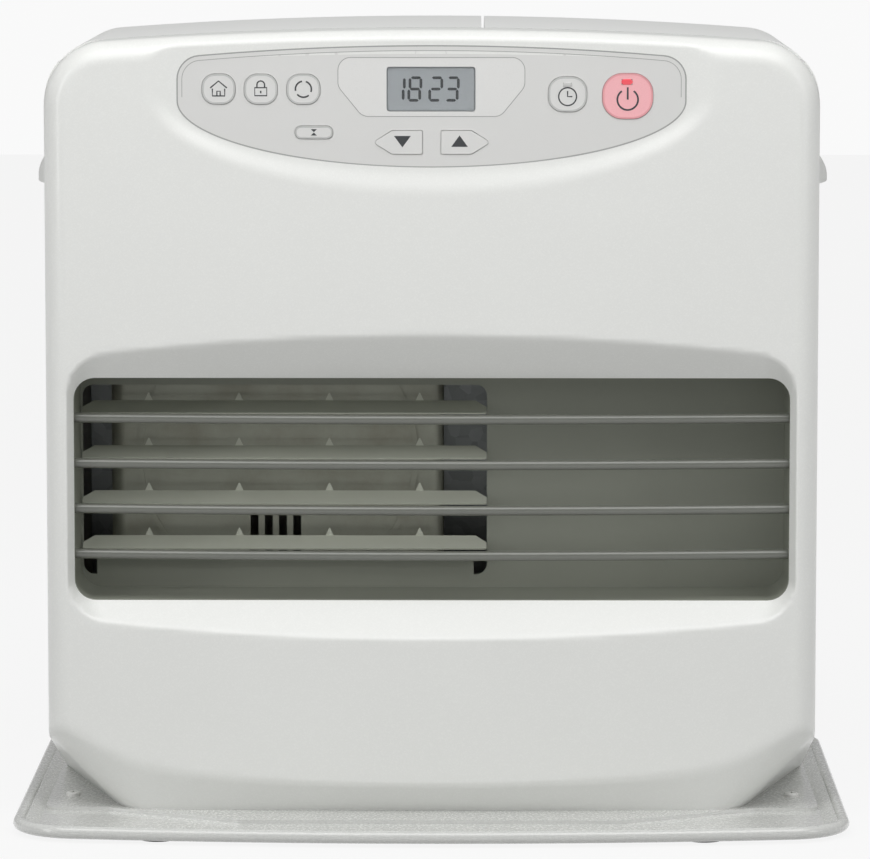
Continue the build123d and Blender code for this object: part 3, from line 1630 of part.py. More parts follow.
# Electrical parts and what shows at the back
def main_board():
    back = main_board_y + 1.6
    board = block(
        main_board_left_x, main_board_right_x, main_board_y, back, main_board_bottom_z, main_board_top_z
    )
    front = main_board_y - 30
    board += block(-140, -100, main_board_y - 26, main_board_y + 0.5, 60, 96)
    board += block(-90, -62, main_board_y - 22, main_board_y + 0.5, 64, 92)
    for x in (-48, -32, -16):
        board += rod_y(x, 82, 7, main_board_y - 24, main_board_y + 0.5)
    board += block(-140, -20, front + 10, main_board_y + 0.5, 24, 36)
    for x in (-130, -90, -50):
        board += block(x, x + 22, main_board_y - 14, main_board_y + 0.5, 42, 54)
    for x in (main_board_left_x + 8, main_board_right_x - 8):
        board += block(x - 5, x + 5, main_board_y, main_board_y + 16, chassis_seat_z, chassis_seat_z + 2)
        board += block(x - 5, x + 5, back - 0.5, back + 1.5, chassis_seat_z, main_board_bottom_z + 20)
    return board


def room_sensor():
    front = body_back_y + 0.1
    pod = block(sensor_x - 9, sensor_x + 9, front, front + 7, sensor_z - 16, sensor_z + 16)
    for row in range(5):
        z = sensor_z - 10 + 5 * row
        pod -= block(sensor_x - 6, sensor_x + 6, front + 3, front + 9, z - 1, z + 1)
    return pod


def cord_gland():
    inner = body_back_y - skin_wall
    gland = rod_y(gland_x, gland_z, gland_radius, inner - 5, body_back_y + 0.5)
    gland += rod_y(gland_x, gland_z, gland_radius + 3, body_back_y, body_back_y + 5)
    gland += rod_y(gland_x, gland_z, gland_radius + 2, inner - 5, inner)
    return gland - rod_y(gland_x, gland_z, gland_bore_radius, inner - 9, body_back_y + 9)


def wall_spacers():
    pieces = []
    for x in (-spacer_x, spacer_x):
        stub = block(x - 16, x + 16, body_back_y, body_back_y + 8.5, spacer_z - 5, spacer_z + 5)
        stub = fillet(stub.faces().sort_by(Axis.Y)[-1].edges(), 3)
        pieces.append(stub)
    return pieces


def as_list(shape):
    if isinstance(shape, list):
        return shape
    return [shape]


parts = {
    "base_tray": base_tray(),
    "rubber_feet": rubber_feet(),
    "tray_screws": [tray_screw(x, y) for x, y in foot_places()],
    "chassis_base": chassis_base(),
    "front_panel": front_panel(),
    "left_side_panel": side_panel(-1),
    "right_side_panel": side_panel(1),
    "rear_panel": rear_panel(),
    "panel_screws": [panel_screw(x, z) for x, z in panel_screw_places()],
    "top_panel": top_panel(),
    "tank_lid": tank_lid(),
    "tank_deck": tank_deck(),
    "lid_hinge_pins": [lid_hinge_pin(x, side) for x, side in hinge_places()],
    "left_grip": grip(-1),
    "right_grip": grip(1),
    "wall_spacers": wall_spacers(),
    "control_plate": control_plate(),
    "display_bezel": display_bezel(),
    "display_window": display_window(),
    "lcd_module": lcd_module(),
    "control_board": control_board(),
    "indicator_lights": [indicator_light(light) for light in lights],
    "outlet_box": outlet_box(),
    "louvre_blades": [louvre_blade(index) for index in range(blade_count)],
    "guard_rods": [guard_rod(index) for index in range(rod_count)],
    "warm_air_duct": warm_air_duct(),
    "combustion_chamber": combustion_chamber(),
    "burner_pot": burner_pot(),
    "burner_ring": burner_ring(),
    "vaporizer": vaporizer(),
    "nozzle": nozzle(),
    "igniter": electrode(*electrode_places()[0], 22),
    "flame_rod": electrode(*electrode_places()[1], 40),
    "air_box": air_box(),
    "blower_housing": blower_housing(),
    "blower_wheel": blower_wheel(),
    "blower_motor": blower_motor(),
    "fan_ring": fan_ring(),
    "fan_motor": fan_motor(),
    "fan_impeller": fan_impeller(),
    "fan_guard": fan_guard(),
    "air_filter": air_filter(),
    "fuel_pump": fuel_pump(),
    "fuel_pipes": fuel_pipes(),
    "sump_tank": sump_tank(),
    "tank_well": tank_well(),
    "cartridge_tank": cartridge_tank(),
    "tank_cap": tank_cap(),
    "tank_handle": tank_handle(),
    "main_board": main_board(),
    "room_sensor": room_sensor(),
    "cord_gland": cord_gland(),
}
for kind in buttons:
    parts[kind[0]] = push_button(kind)

os.makedirs("parts", exist_ok=True)
for name, shape in parts.items():
    solids = []
    for piece in as_list(shape):
        solids += piece.solids()
    export_step(Compound(children=solids), "parts/" + name + ".step")
print(len(parts), "nodes written")
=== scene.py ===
# %% [markdown]
# # Dressing a paraffin heater
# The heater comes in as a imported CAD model: sixty named nodes in metres, each at its real place.
# This lesson gives every node the finish of the real thing, rebuilds the pressed front panel as a
# fine mesh, prints the control panel, and lights the whole as a catalogue does.
# Nothing here moves a CAD node. A shape that needs more softness gets a new piece in the same place.

# %% Load the fixed frame
import json
import math

import bmesh
import bpy
import numpy as np
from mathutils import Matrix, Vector
from mathutils.geometry import delaunay_2d_cdt

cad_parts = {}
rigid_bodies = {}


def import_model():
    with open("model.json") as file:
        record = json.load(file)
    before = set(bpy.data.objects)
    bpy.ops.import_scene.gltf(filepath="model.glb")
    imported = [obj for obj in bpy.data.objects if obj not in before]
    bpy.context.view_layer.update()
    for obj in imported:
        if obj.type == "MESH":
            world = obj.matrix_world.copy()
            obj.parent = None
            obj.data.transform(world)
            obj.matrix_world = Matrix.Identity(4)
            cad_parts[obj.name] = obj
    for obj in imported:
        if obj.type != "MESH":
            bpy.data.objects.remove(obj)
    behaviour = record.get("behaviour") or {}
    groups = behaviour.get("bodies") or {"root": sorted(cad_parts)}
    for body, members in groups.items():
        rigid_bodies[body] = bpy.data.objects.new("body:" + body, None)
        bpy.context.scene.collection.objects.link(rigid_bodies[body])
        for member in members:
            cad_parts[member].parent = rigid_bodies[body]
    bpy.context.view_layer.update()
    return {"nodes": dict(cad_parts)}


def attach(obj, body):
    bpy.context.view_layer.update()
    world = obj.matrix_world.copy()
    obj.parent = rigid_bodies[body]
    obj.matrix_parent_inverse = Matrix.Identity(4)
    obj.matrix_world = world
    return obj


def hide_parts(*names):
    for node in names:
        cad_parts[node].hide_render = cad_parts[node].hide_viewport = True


for leftover in list(bpy.data.objects):
    bpy.data.objects.remove(leftover)
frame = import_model()
nodes = frame["nodes"]

# %% [markdown]
# ## Colour and nodes
# Paint charts give colours as sRGB hex values, while shaders work in linear light, so one function
# turns the first into the second. One more function adds a node with its settings and links. With
# these two, a material reads as a recipe. Two others put an object in the scene and turn a closed
# mesh's faces outwards.

# %% Small helpers


def linear(hex_colour):
    channels = [int(hex_colour[i : i + 2], 16) / 255 for i in (1, 3, 5)]
    light = [c / 12.92 if c <= 0.04045 else ((c + 0.055) / 1.055) ** 2.4 for c in channels]
    return (*light, 1.0)


def add_node(tree, kind, settings=None, values=None, links=None):
    made = tree.nodes.new(kind)
    for name, value in (settings or {}).items():
        setattr(made, name, value)
    for name, value in (values or {}).items():
        made.inputs[name].default_value = value
    for name, source in (links or {}).items():
        tree.links.new(source, made.inputs[name])
    return made


def new_object(name, data):
    made = bpy.data.objects.new(name, data)
    bpy.context.scene.collection.objects.link(made)
    return made


def face_outwards(mesh):
    clean = bmesh.new()
    clean.from_mesh(mesh)
    bmesh.ops.recalc_face_normals(clean, faces=clean.faces)
    clean.to_mesh(mesh)
    clean.free()


print("pearl white, linear:", [round(c, 3) for c in linear("#E0E1DE")])

# %% [markdown]
# ## What a finish is made of
# A painted or moulded surface differs from flat colour in four ways: its tone drifts a little over
# a hand's width, its gloss drifts too, it has a fine relief, and paint and gloss plastic carry a
# clear skin. One recipe holds all four. Its scales are real millimetres, so a noise of 1.2 mm is
# the ripple that painters call orange peel. Patterns read Object coordinates, because every
# piece keeps its place in its mesh.

# %% The base recipe
MM = 0.001
finishes = {}


def start_material(name, title):
    material = bpy.data.materials.new(title)
    material.use_nodes = True
    material.node_tree.nodes.clear()
    finishes[name] = material
    return material, material.node_tree


def noise(tree, place, size_mm, detail=2.0, rough=0.5):
    return add_node(
        tree, "ShaderNodeTexNoise",
        values={"Scale": 1 / (size_mm * MM), "Detail": detail, "Roughness": rough},
        links={"Vector": place}
    )


def surface(
    name, title, colour, roughness, metallic=0.0, ior=1.5, coat=0.0, coat_roughness=0.1,
    drift=(0.03, 55.0), gloss_drift=0.05, relief=(1.2, 0.004), stretch=(1.0, 1.0, 1.0), extra=None
):
    tone_drift, drift_mm = drift
    relief_mm, relief_depth_mm = relief
    material, tree = start_material(name, title)
    shader = add_node(
        tree, "ShaderNodeBsdfPrincipled", values={"Metallic": metallic, "Coat Weight": coat}
    )
    if coat:
        shader.inputs["Coat Roughness"].default_value = coat_roughness
    if not metallic:
        shader.inputs["IOR"].default_value = ior
    place = add_node(tree, "ShaderNodeTexCoord").outputs["Object"]
    grain = add_node(
        tree, "ShaderNodeMapping", values={"Scale": stretch}, links={"Vector": place}
    ).outputs["Vector"]
    slow = noise(tree, place, drift_mm).outputs["Fac"]
    quick = noise(tree, grain, relief_mm, 3.0, 0.55).outputs["Fac"]
    light = [c * (1 + tone_drift) for c in linear(colour)[:3]]
    dark = [c * (1 - tone_drift) for c in linear(colour)[:3]]
    tone = add_node(
        tree, "ShaderNodeMix", {"data_type": "RGBA"},
        {"A": (*dark, 1.0), "B": (*[min(c, 1.0) for c in light], 1.0)}, {"Factor": slow}
    )
    colour_out = tone.outputs["Result"]
    if extra:
        colour_out = extra(tree, place, grain, colour_out)
    tree.links.new(colour_out, shader.inputs["Base Color"])
    gloss = add_node(
        tree, "ShaderNodeMapRange",
        values={
            "From Min": 0.3, "From Max": 0.7, "To Min": max(roughness - gloss_drift, 0.02),
            "To Max": min(roughness + gloss_drift, 1.0)
        },
        links={"Value": quick}
    )
    tree.links.new(gloss.outputs["Result"], shader.inputs["Roughness"])
    bump = add_node(
        tree, "ShaderNodeBump", values={"Strength": 1.0, "Distance": relief_depth_mm * MM},
        links={"Height": quick}
    )
    tree.links.new(bump.outputs["Normal"], shader.inputs["Normal"])
    add_node(tree, "ShaderNodeOutputMaterial", links={"Surface": shader.outputs["BSDF"]})
    return material


print("recipe ready, one scale unit =", MM, "m")

# %% [markdown]
# ## Paint
# The cabinet is pressed steel with stoved pearl enamel: nearly white, satin, with fine mica flakes
# that lift single grains of tone. The top and the lid are the same paint made a shade lighter, painted light
# for the light they lack, and the rear is the same paint a shade greyer.
# The outlet behind the guard rods is heat-proof paint, olive grey and dull.

# %% Enamels


def scaled_by(tree, colour_in, value, amount, start=0.0):
    tone = add_node(
        tree, "ShaderNodeMapRange",
        values={"From Min": start, "To Min": 1.0 - amount, "To Max": 1.0 + amount}, links={"Value": value}
    )
    scaled = add_node(
        tree, "ShaderNodeVectorMath", {"operation": "SCALE"},
        links={0: colour_in, "Scale": tone.outputs["Result"]}
    )
    return scaled.outputs["Vector"]


def flakes(size_mm, amount, channel, start=0.0):
    def add(tree, place, grain, colour_in):
        cells = add_node(
            tree, "ShaderNodeTexVoronoi", {"feature": "F1"}, {"Scale": 1 / (size_mm * MM)},
            {"Vector": place}
        )
        split = add_node(tree, "ShaderNodeSeparateColor", links={"Color": cells.outputs["Color"]})
        return scaled_by(tree, colour_in, split.outputs[channel], amount, start)

    return add


def mica(amount, flake_mm):
    return flakes(flake_mm, amount, "Red", 0.55)


# Stoved enamel levels as it bakes, which leaves a satin skin with 1.6 mm orange peel
surface(
    "front_enamel", "stoved pearl enamel on deep-drawn steel", "#EBECE9", 0.34, coat=0.25,
    drift=(0.012, 55), relief=(1.6, 0.003), extra=mica(0.015, 0.7)
)
# The same paint on folded sheet: flat panels where the peel shows only in glancing light
surface(
    "cabinet_enamel", "stoved pearl enamel on folded steel", "#EBECE9", 0.34, coat=0.25,
    drift=(0.012, 55), relief=(1.6, 0.003), extra=mica(0.015, 0.7)
)
# The tray's paint is harder and glossier, so its rolled edge carries a line of light. Its colour is the
# cabinet's pearl enamel darkened, painted shade that stands in for the shade on the tray floor.
surface(
    "tray_enamel", "stoved pearl enamel on pressed tray steel", "#D6D7D4", 0.26, coat=0.7,
    coat_roughness=0.12, drift=(0.015, 55), relief=(1.6, 0.003), extra=mica(0.02, 0.7)
)
# The top sheets carry the front's enamel made a shade lighter, painted light that stands in for the light
# the top lacks; they are duller than the front
surface(
    "top_enamel", "stoved white enamel on rolled steel", "#F0F1EF", 0.38, coat=0.2, drift=(0.015, 55),
    relief=(1.6, 0.003), extra=mica(0.02, 0.7)
)
# Powder coat is thicker and rougher, so the back looks matt
surface(
    "rear_enamel", "powder coat on rear sheet steel", "#C9CAC8", 0.45, drift=(0.02, 55),
    relief=(1.8, 0.004)
)
# A lacquered screw head has a small bright rim and hides its metal
surface(
    "painted_screw", "white lacquered pan head steel", "#F0F0ED", 0.3, coat=0.4, drift=(0.02, 4),
    relief=(0.5, 0.003)
)
# Heat-proof paint is chalky: it has no clear skin and half a millimetre of tooth
surface(
    "outlet_enamel", "heat-proof olive paint on sheet steel", "#8F9287", 0.55, drift=(0.05, 40),
    relief=(0.5, 0.008)
)
# The slats carry the walls' heat-proof paint made lighter, painted light that stands in for the light the
# recess's top keeps off them
surface(
    "slat_paint_with_painted_light", "heat-proof olive paint on lanced slats", "#C2C5B8", 0.5, drift=(0.05, 40),
    relief=(0.5, 0.006)
)
# Enamel runs smooth round a drawn rod, so each rod has one sharp line of light
surface(
    "rod_enamel", "glossy grey enamel on drawn rod", "#6E7069", 0.22, coat=0.6, coat_roughness=0.08,
    drift=(0.04, 30), relief=(0.6, 0.004)
)
print("enamels:", sorted(finishes))

# %% [markdown]
# ## Plastics and rubber
# Control panels are moulded ABS with a fine spark-eroded texture that takes the shine off. Keys are
# the same plastic, smoother where fingers press. Hidden housings are black polypropylene, which is
# waxy, and the feet are rubber, which is rougher and slightly dusty.

# %% Moulded parts
# The eroded tool gives a fine grain that spreads the light evenly
surface(
    "control_plastic", "spark-eroded ABS moulding", "#DCDCDA", 0.38, ior=1.54, drift=(0.008, 55),
    relief=(0.35, 0.002)
)
# A smoother tool than the plate's, so the bezel looks a touch brighter
surface(
    "bezel_plastic", "satin ABS moulding", "#E2E2E0", 0.3, ior=1.54, drift=(0.008, 55),
    relief=(0.35, 0.001)
)
# Keys are polished a little by fingers, which gives them a softer gleam
surface(
    "button_plastic", "satin ABS key moulding", "#DEDEDC", 0.32, ior=1.54, drift=(0.01, 9),
    relief=(0.4, 0.001)
)
# Pigment right through the plastic gives an even tint with milky edges
surface(
    "power_plastic", "pink tinted ABS key moulding", "#F9B9BE", 0.3, ior=1.54, coat=0.2, drift=(0.02, 9),
    relief=(0.4, 0.001)
)
# A frosted lens glows from inside its rim and has a small hard highlight
surface(
    "lamp_plastic", "frosted polycarbonate lens", "#C9C9C7", 0.18, ior=1.58, coat=0.4, drift=(0.04, 2),
    relief=(0.5, 0.004)
)
# Grain of 0.6 mm hides scratches and looks dry
surface("grip_plastic", "grained polypropylene grip", "#DFE0DD", 0.45, drift=(0.02, 55), relief=(0.6, 0.012))
# The deck round the filler is plain grey, rougher than the outer parts
surface("deck_plastic", "grained polypropylene deck", "#8C8E8E", 0.5, drift=(0.03, 55), relief=(0.7, 0.015))
# Waxy black housing: broad grey highlights and slight mould flow
surface(
    "black_plastic", "black polypropylene moulding", "#232425", 0.5, ior=1.49, drift=(0.15, 55),
    relief=(0.6, 0.01)
)
# Fuel caps are coloured through, soft and waxy
surface(
    "cap_plastic", "red polyethylene screw cap", "#B8402F", 0.42, ior=1.49, drift=(0.05, 55),
    relief=(0.6, 0.01)
)
# Glass-filled nylon shows a faint mottled skin
surface(
    "handle_plastic", "black nylon handle moulding", "#2E3032", 0.48, ior=1.49, drift=(0.12, 55),
    relief=(0.6, 0.01)
)
# Rubber scatters nearly everything and holds dust
surface(
    "foot_rubber", "moulded nitrile rubber", "#1B1B1B", 0.8, ior=1.52, drift=(0.25, 12),
    relief=(0.5, 0.02)
)
print("plastics done, finishes so far:", len(finishes))

# %% [markdown]
# ## Metals
# Each metal shows how it was made. Galvanised sheet has spangle, the zinc's frozen crystals, each a
# flat grey of its own. Aluminised chamber steel is dulled and straw coloured by heat. Wire, pins
# and tubes carry fine lines along their length. Metals keep the default index of refraction.

# %% Sheet, castings and wire


def spangle(size_mm, amount):
    return flakes(size_mm, amount, "Green")


def heat_bloom(tint, size_mm):
    def add(tree, place, grain, colour_in):
        cloud = noise(tree, place, size_mm, 4.0, 0.6).outputs["Fac"]
        reach = add_node(
            tree, "ShaderNodeMapRange", values={"From Min": 0.42, "From Max": 0.72, "To Max": 0.6},
            links={"Value": cloud}
        )
        mixed = add_node(
            tree, "ShaderNodeMix", {"data_type": "RGBA"}, {"B": linear(tint)},
            {"Factor": reach.outputs["Result"], "A": colour_in}
        )
        return mixed.outputs["Result"]

    return add


# Zinc freezes in crystals about 7 mm wide, each a flat grey of its own
surface(
    "galvanised_sheet", "hot-dip galvanised sheet", "#A9ADAD", 0.42, 1.0, drift=(0.05, 55),
    relief=(0.9, 0.004), extra=spangle(7.0, 0.16)
)
# Years of heat leave straw and grey clouds a hand's width apart
surface(
    "chamber_steel", "aluminised chamber steel, heat bloomed", "#A5A79B", 0.55, 0.6, drift=(0.05, 35),
    relief=(0.8, 0.006), extra=heat_bloom("#8D8B7D", 28.0)
)
# The duct's skin is dulled by warm air to a brownish grey
surface(
    "duct_steel", "smoked aluminised duct steel", "#B5B4AE", 0.6, 0.3, drift=(0.05, 30),
    relief=(0.8, 0.004)
)
# Blue and brown oxide bloom where the flame touches
surface(
    "burner_steel", "stainless burner steel, heat blued", "#8A8178", 0.45, 1.0, drift=(0.08, 20),
    relief=(0.7, 0.006), extra=heat_bloom("#54506A", 18.0)
)
# Sand casting leaves a coarse dull skin
surface(
    "vaporizer_aluminium", "sand-cast aluminium", "#B5B6B6", 0.5, 1.0, drift=(0.04, 55),
    relief=(0.8, 0.02)
)
# Fine lines run round a turned part
surface(
    "nozzle_brass", "turned brass", "#C8A860", 0.3, 1.0, drift=(0.05, 6), relief=(0.4, 0.002),
    stretch=(0.1, 1, 1)
)
# Bright plating over a stamped head
surface("screw_steel", "zinc-plated steel screw", "#C4C6C6", 0.3, 1.0, drift=(0.05, 5), relief=(0.35, 0.002))
# Drawing leaves lines along the pin
surface(
    "pin_steel", "drawn steel pin", "#B0B2B3", 0.28, 1.0, drift=(0.04, 55), relief=(0.5, 0.002),
    stretch=(0.05, 1, 1)
)
# Rolling lines run round the can
surface(
    "motor_steel", "rolled motor can steel", "#9DA0A2", 0.36, 1.0, drift=(0.05, 55), relief=(0.8, 0.003),
    stretch=(1, 0.08, 1)
)
# Mill lines cross the blades from the rolled coil
surface(
    "fan_aluminium", "stamped aluminium blades", "#B9BBBC", 0.34, 1.0, drift=(0.04, 55),
    relief=(0.8, 0.003), stretch=(0.2, 1, 1)
)
# Plated wire has a sharp light line on each turn
surface(
    "guard_wire", "nickel-plated spot-welded wire", "#B4B6B6", 0.3, 1.0, drift=(0.05, 20),
    relief=(0.6, 0.002)
)
# A clear passivation tints the body slightly
surface(
    "pump_steel", "passivated pump body steel", "#A3A6A8", 0.35, 1.0, drift=(0.05, 55),
    relief=(0.7, 0.003)
)
# Annealing leaves a warm, slightly patchy colour
surface(
    "pipe_brass", "annealed copper alloy tube", "#B98C5A", 0.3, 1.0, drift=(0.06, 15), relief=(0.5, 0.002)
)
# Fine spangle of 5 mm and a soft sheen
surface(
    "tank_steel", "electro-galvanised tank steel", "#B2B5B6", 0.34, 1.0, drift=(0.04, 45),
    relief=(1.0, 0.003), extra=spangle(5.0, 0.06)
)
print("finishes so far:", len(finishes))

# %% [markdown]
# ## Glass, ceramic and boards
# The display window is clear acrylic over a grey liquid-crystal cell. The igniter and flame rod sit in
# glazed alumina. The boards are glass-fibre laminate under green lacquer, with a weave that
# barely shows.

# %% The rest of the list


def woven(pitch_mm, amount):
    def add(tree, place, grain, colour_in):
        threads = add_node(
            tree, "ShaderNodeTexChecker",
            values={"Scale": 1 / (pitch_mm * MM), "Color1": (1, 1, 1, 1), "Color2": (0, 0, 0, 1)},
            links={"Vector": place}
        )
        return scaled_by(tree, colour_in, threads.outputs["Fac"], amount)

    return add


# Polarising film makes the cell a flat blue grey
surface(
    "lcd_glass", "liquid-crystal cell under polarising film", "#BDC0C4", 0.25, ior=1.52,
    drift=(0.015, 14), relief=(1.0, 0.0005)
)
# Glaze is glassy over an ivory body
surface(
    "electrode_ceramic", "glazed alumina", "#E6E0D2", 0.25, ior=1.77, coat=0.4, drift=(0.03, 8),
    relief=(0.8, 0.003)
)
# The weave shows as a faint chequer of 0.9 mm
surface(
    "board_laminate", "glass-fibre laminate under green lacquer", "#2F6B46", 0.35, ior=1.55, coat=0.3,
    drift=(0.08, 25), relief=(0.6, 0.006), extra=woven(0.9, 0.08)
)
# Clear sheet with a barely wavy face
glass = surface(
    "window_glass", "clear cast acrylic", "#F4F6F6", 0.03, ior=1.49, drift=(0.005, 55), gloss_drift=0.01,
    relief=(6.0, 0.0005)
)
glass_shader = next(n for n in glass.node_tree.nodes if n.type == "BSDF_PRINCIPLED")
glass_shader.inputs["Transmission Weight"].default_value = 1.0

for node in nodes.values():
    slot_name = node.data.materials[0].name.split(".")[0]
    node.data.materials[0] = finishes[slot_name]
nodes["warm_air_duct"].data.materials[0] = finishes["duct_steel"]
nodes["tray_screws"].data.materials[0] = finishes["painted_screw"]
print("nodes dressed:", len(nodes), "with", len(finishes), "finishes")

# %% [markdown]
# ## The front panel's shape as a formula
# The front is one deep pressing: a gently bowed sheet with a rolled edge, an undercut chin, a
# shallow dish for the control panel and a wide recess for the warm air. A press makes creases soft,
# which few CAD fillets follow. So the surface is written as one function that is negative inside
# the heater, and soft maxima join its parts the way a press radius does. All of it is in
# millimetres, x to the right, y to the back, z up.

# %% Sizes of the pressing
BOW = 2050.0
CROWN = 2480.0
HALF = 215.0
HEIGHT = 442.0
FRONT = -90.0
BACK = 152.0
EDGE = 13.0
CORNER = 33.0
SHEET = 1.5
FOOT = 6.0
CHIN_RISE = 46.0
FOOT_HALF = 160.0
RIM_HALF = 202.0
SIDE_SEAM_Y = -62.0
SIDE_SEAM_TOP = 424.0
RAY_CENTRE_Y = -64.0
REAR_EDGE = 12.5
CHIN_TOP = 75.0
CHIN_LEAN = 0.8
CHIN_PRESS, DISH_PRESS, RECESS_PRESS = 1.2, 0.9, 1.6


def bow(x):
    return BOW - np.sqrt(BOW**2 - np.square(x))


def crown(x):
    return CROWN - np.sqrt(CROWN**2 - np.square(x))


def round_corner(a, b, radius):
    outside = np.hypot(np.maximum(a + radius, 0), np.maximum(b + radius, 0))
    return np.minimum(np.maximum(a, b), -radius) + outside


def soft_max(a, b, reach):
    near = np.maximum(reach - np.abs(a - b), 0.0) / reach
    return np.maximum(a, b) + near * near * reach / 4


def corner_distance(u, v):
    return np.hypot(np.maximum(u, 0), np.maximum(v, 0)) + np.minimum(np.maximum(u, v), 0)


def rounded_box(x, z, half, low, high, radius):
    u = np.abs(x) - (half - radius)
    v = np.abs(z - (low + high) / 2) - ((high - low) / 2 - radius)
    return corner_distance(u, v) - radius


print("bow at the side:", round(float(bow(HALF)), 2), "mm")

# %% [markdown]
# The chin is a ruled surface between an outline at the tray and a wider one 46 mm higher. Both
# outlines are cut into the same number of short edges, so the outline at any height is a blend of
# the two. The distance to it is the distance to its nearest edge, negative where the outline
# lies in front of the point.

# %% Chin outlines


def arc_through(a, b, c, count):
    (ax, ay), (bx, by), (cx, cy) = a, b, c
    d = 2 * (ax * (by - cy) + bx * (cy - ay) + cx * (ay - by))
    ux = ((ax**2 + ay**2) * (by - cy) + (bx**2 + by**2) * (cy - ay) + (cx**2 + cy**2) * (ay - by)) / d
    uy = ((ax**2 + ay**2) * (cx - bx) + (bx**2 + by**2) * (ax - cx) + (cx**2 + cy**2) * (bx - ax)) / d
    start = math.atan2(ay - uy, ax - ux)
    end = math.atan2(cy - uy, cx - ux)
    radius = math.hypot(ax - ux, ay - uy)
    turns = np.linspace(start, end, count)
    return np.column_stack([ux + radius * np.cos(turns), uy + radius * np.sin(turns)])


def chin_outline(front_half, mid_y, end_y, side_x, side_y, wide_x):
    front = arc_through((-front_half, end_y), (0, mid_y), (front_half, end_y), 41)[20:]
    lean = 2 * (end_y - mid_y) / front_half
    slant = (wide_x - side_x) / (70 - side_y)
    knee_y = (end_y + lean * (side_x - slant * side_y - front_half)) / (1 - lean * slant)
    knee = np.array([side_x + slant * (knee_y - side_y), knee_y])
    first, last = np.array([front_half, end_y]), np.array([side_x, side_y])
    near, far = first + CHIN_FULLNESS * (knee - first), last + CHIN_FULLNESS * (knee - last)
    t = np.linspace(0, 1, 15)[1:, None]
    corner = (1 - t) ** 3 * first + 3 * t * (1 - t) ** 2 * near + 3 * t**2 * (1 - t) * far + t**3 * last
    side = [(side_x + (wide_x - side_x) * u, side_y + (70 - side_y) * u) for u in (0.5, 1.0)]
    return np.vstack([front, corner, side, [(wide_x, BACK + EDGE)]])


CHIN_FULLNESS = 0.8
CHIN_LOW = chin_outline(150, -80, -77, 178, -56, 216.5)
CHIN_HIGH = chin_outline(170, -109, -89, 221, -66, 262)


def chin_distance(x, y, z):
    t = ((z - FOOT) / CHIN_RISE)[:, None, None]
    a = CHIN_LOW[None, :-1] * (1 - t) + CHIN_HIGH[None, :-1] * t
    b = CHIN_LOW[None, 1:] * (1 - t) + CHIN_HIGH[None, 1:] * t
    run = b - a
    point = np.column_stack([np.abs(x) + 0.001, y])[:, None, :]
    along = np.sum((point - a) * run, axis=2) / np.sum(run * run, axis=2)
    foot = a + run * np.clip(along, 0, 1)[:, :, None]
    near = np.min(np.hypot(*np.moveaxis(point - foot, 2, 0)), axis=1)
    spans = (a[..., 0] <= point[..., 0]) != (b[..., 0] <= point[..., 0])
    width = np.where(spans, run[..., 0], 1.0)
    level = a[..., 1] + run[..., 1] * (point[..., 0] - a[..., 0]) / width
    ahead = spans & (level < point[..., 1])
    return np.where(np.sum(ahead, axis=1) % 2 == 1, -near, near)


print("chin edges:", len(CHIN_LOW) - 1)

# %% [markdown]
# The dish is a cone between two half ellipses, 3 mm deep, and the recess narrows from a wide soft
# mouth to the outlet's throat. A soft maximum of 1 to 2 mm turns each crease into a press radius.

# %% The whole form
DISH_OUTER = (156.0, 55.0, 408.5)
DISH_INNER = (143.5, 38.5, 403.0)
MOUTH = (207.5, 101.8, 276.5, 33.0)
THROAT = (199.4, 123.5, 248.3, 12.0)
DISH_DEEP = 3.0
MOUTH_Y, RECESS_DEEP = -92.0, 21.0


def dish_share(x, z):
    low = np.full_like(x, -4.0)
    high = np.full_like(x, 3.0)
    for _ in range(22):
        t = (low + high) / 2
        half, drop, mid = [o + (i - o) * t for o, i in zip(DISH_OUTER, DISH_INNER)]
        reach = (x / half) ** 2 + (np.maximum(mid - z, 0) / drop) ** 2 - 1
        high = np.where(reach > 0, t, high)
        low = np.where(reach > 0, low, t)
    return (low + high) / 2


def dish_depth(x, z):
    return -soft_max(-DISH_DEEP * dish_share(x, z), np.full_like(x, -DISH_DEEP), 1.0)


def recess_distance(x, y, z):
    t = (y - MOUTH_Y) / RECESS_DEEP
    half, low, high, radius = [m + (s - m) * t for m, s in zip(MOUTH, THROAT)]
    return rounded_box(x, z, half, low, high, np.maximum(radius, 0.5))


def form(x, y, z, dish=None):
    face = FRONT + bow(x) - y
    top = HEIGHT - crown(x)
    u = np.abs(x) - (HALF - CORNER)
    v = z - (top - CORNER)
    rim = corner_distance(u, v) - CORNER
    shape = round_corner(face, rim, EDGE)
    shape = round_corner(shape, y - BACK, REAR_EDGE)
    low = z < CHIN_TOP
    if np.any(low):
        chin = chin_distance(x[low], y[low], z[low]) * CHIN_LEAN
        shape[low] = round_corner(shape[low], chin, CHIN_PRESS)
    depth = dish_depth(x, z) if dish is None else dish
    shape = soft_max(shape, face + depth, DISH_PRESS)
    return soft_max(shape, -recess_distance(x, y, z), RECESS_PRESS)


def cast(origin, direction, reach, dish=None):
    low = np.zeros(len(origin))
    high = np.full(len(origin), float(reach))
    for _ in range(34):
        mid = (low + high) / 2
        p = origin + direction * mid[:, None]
        inside = form(p[:, 0], p[:, 1], p[:, 2], dish) < 0
        low = np.where(inside, mid, low)
        high = np.where(inside, high, mid)
    return origin + direction * ((low + high) / 2)[:, None]


def slope(points, step=0.02):
    out = np.zeros_like(points)
    for axis in range(3):
        shift = np.zeros(3)
        shift[axis] = step
        ahead = points + shift
        behind = points - shift
        out[:, axis] = form(*ahead.T) - form(*behind.T)
    return out / np.linalg.norm(out, axis=1)[:, None]


print("form at the middle of the face:", form(*np.array([[0.0], [-90.0], [330.0]])))

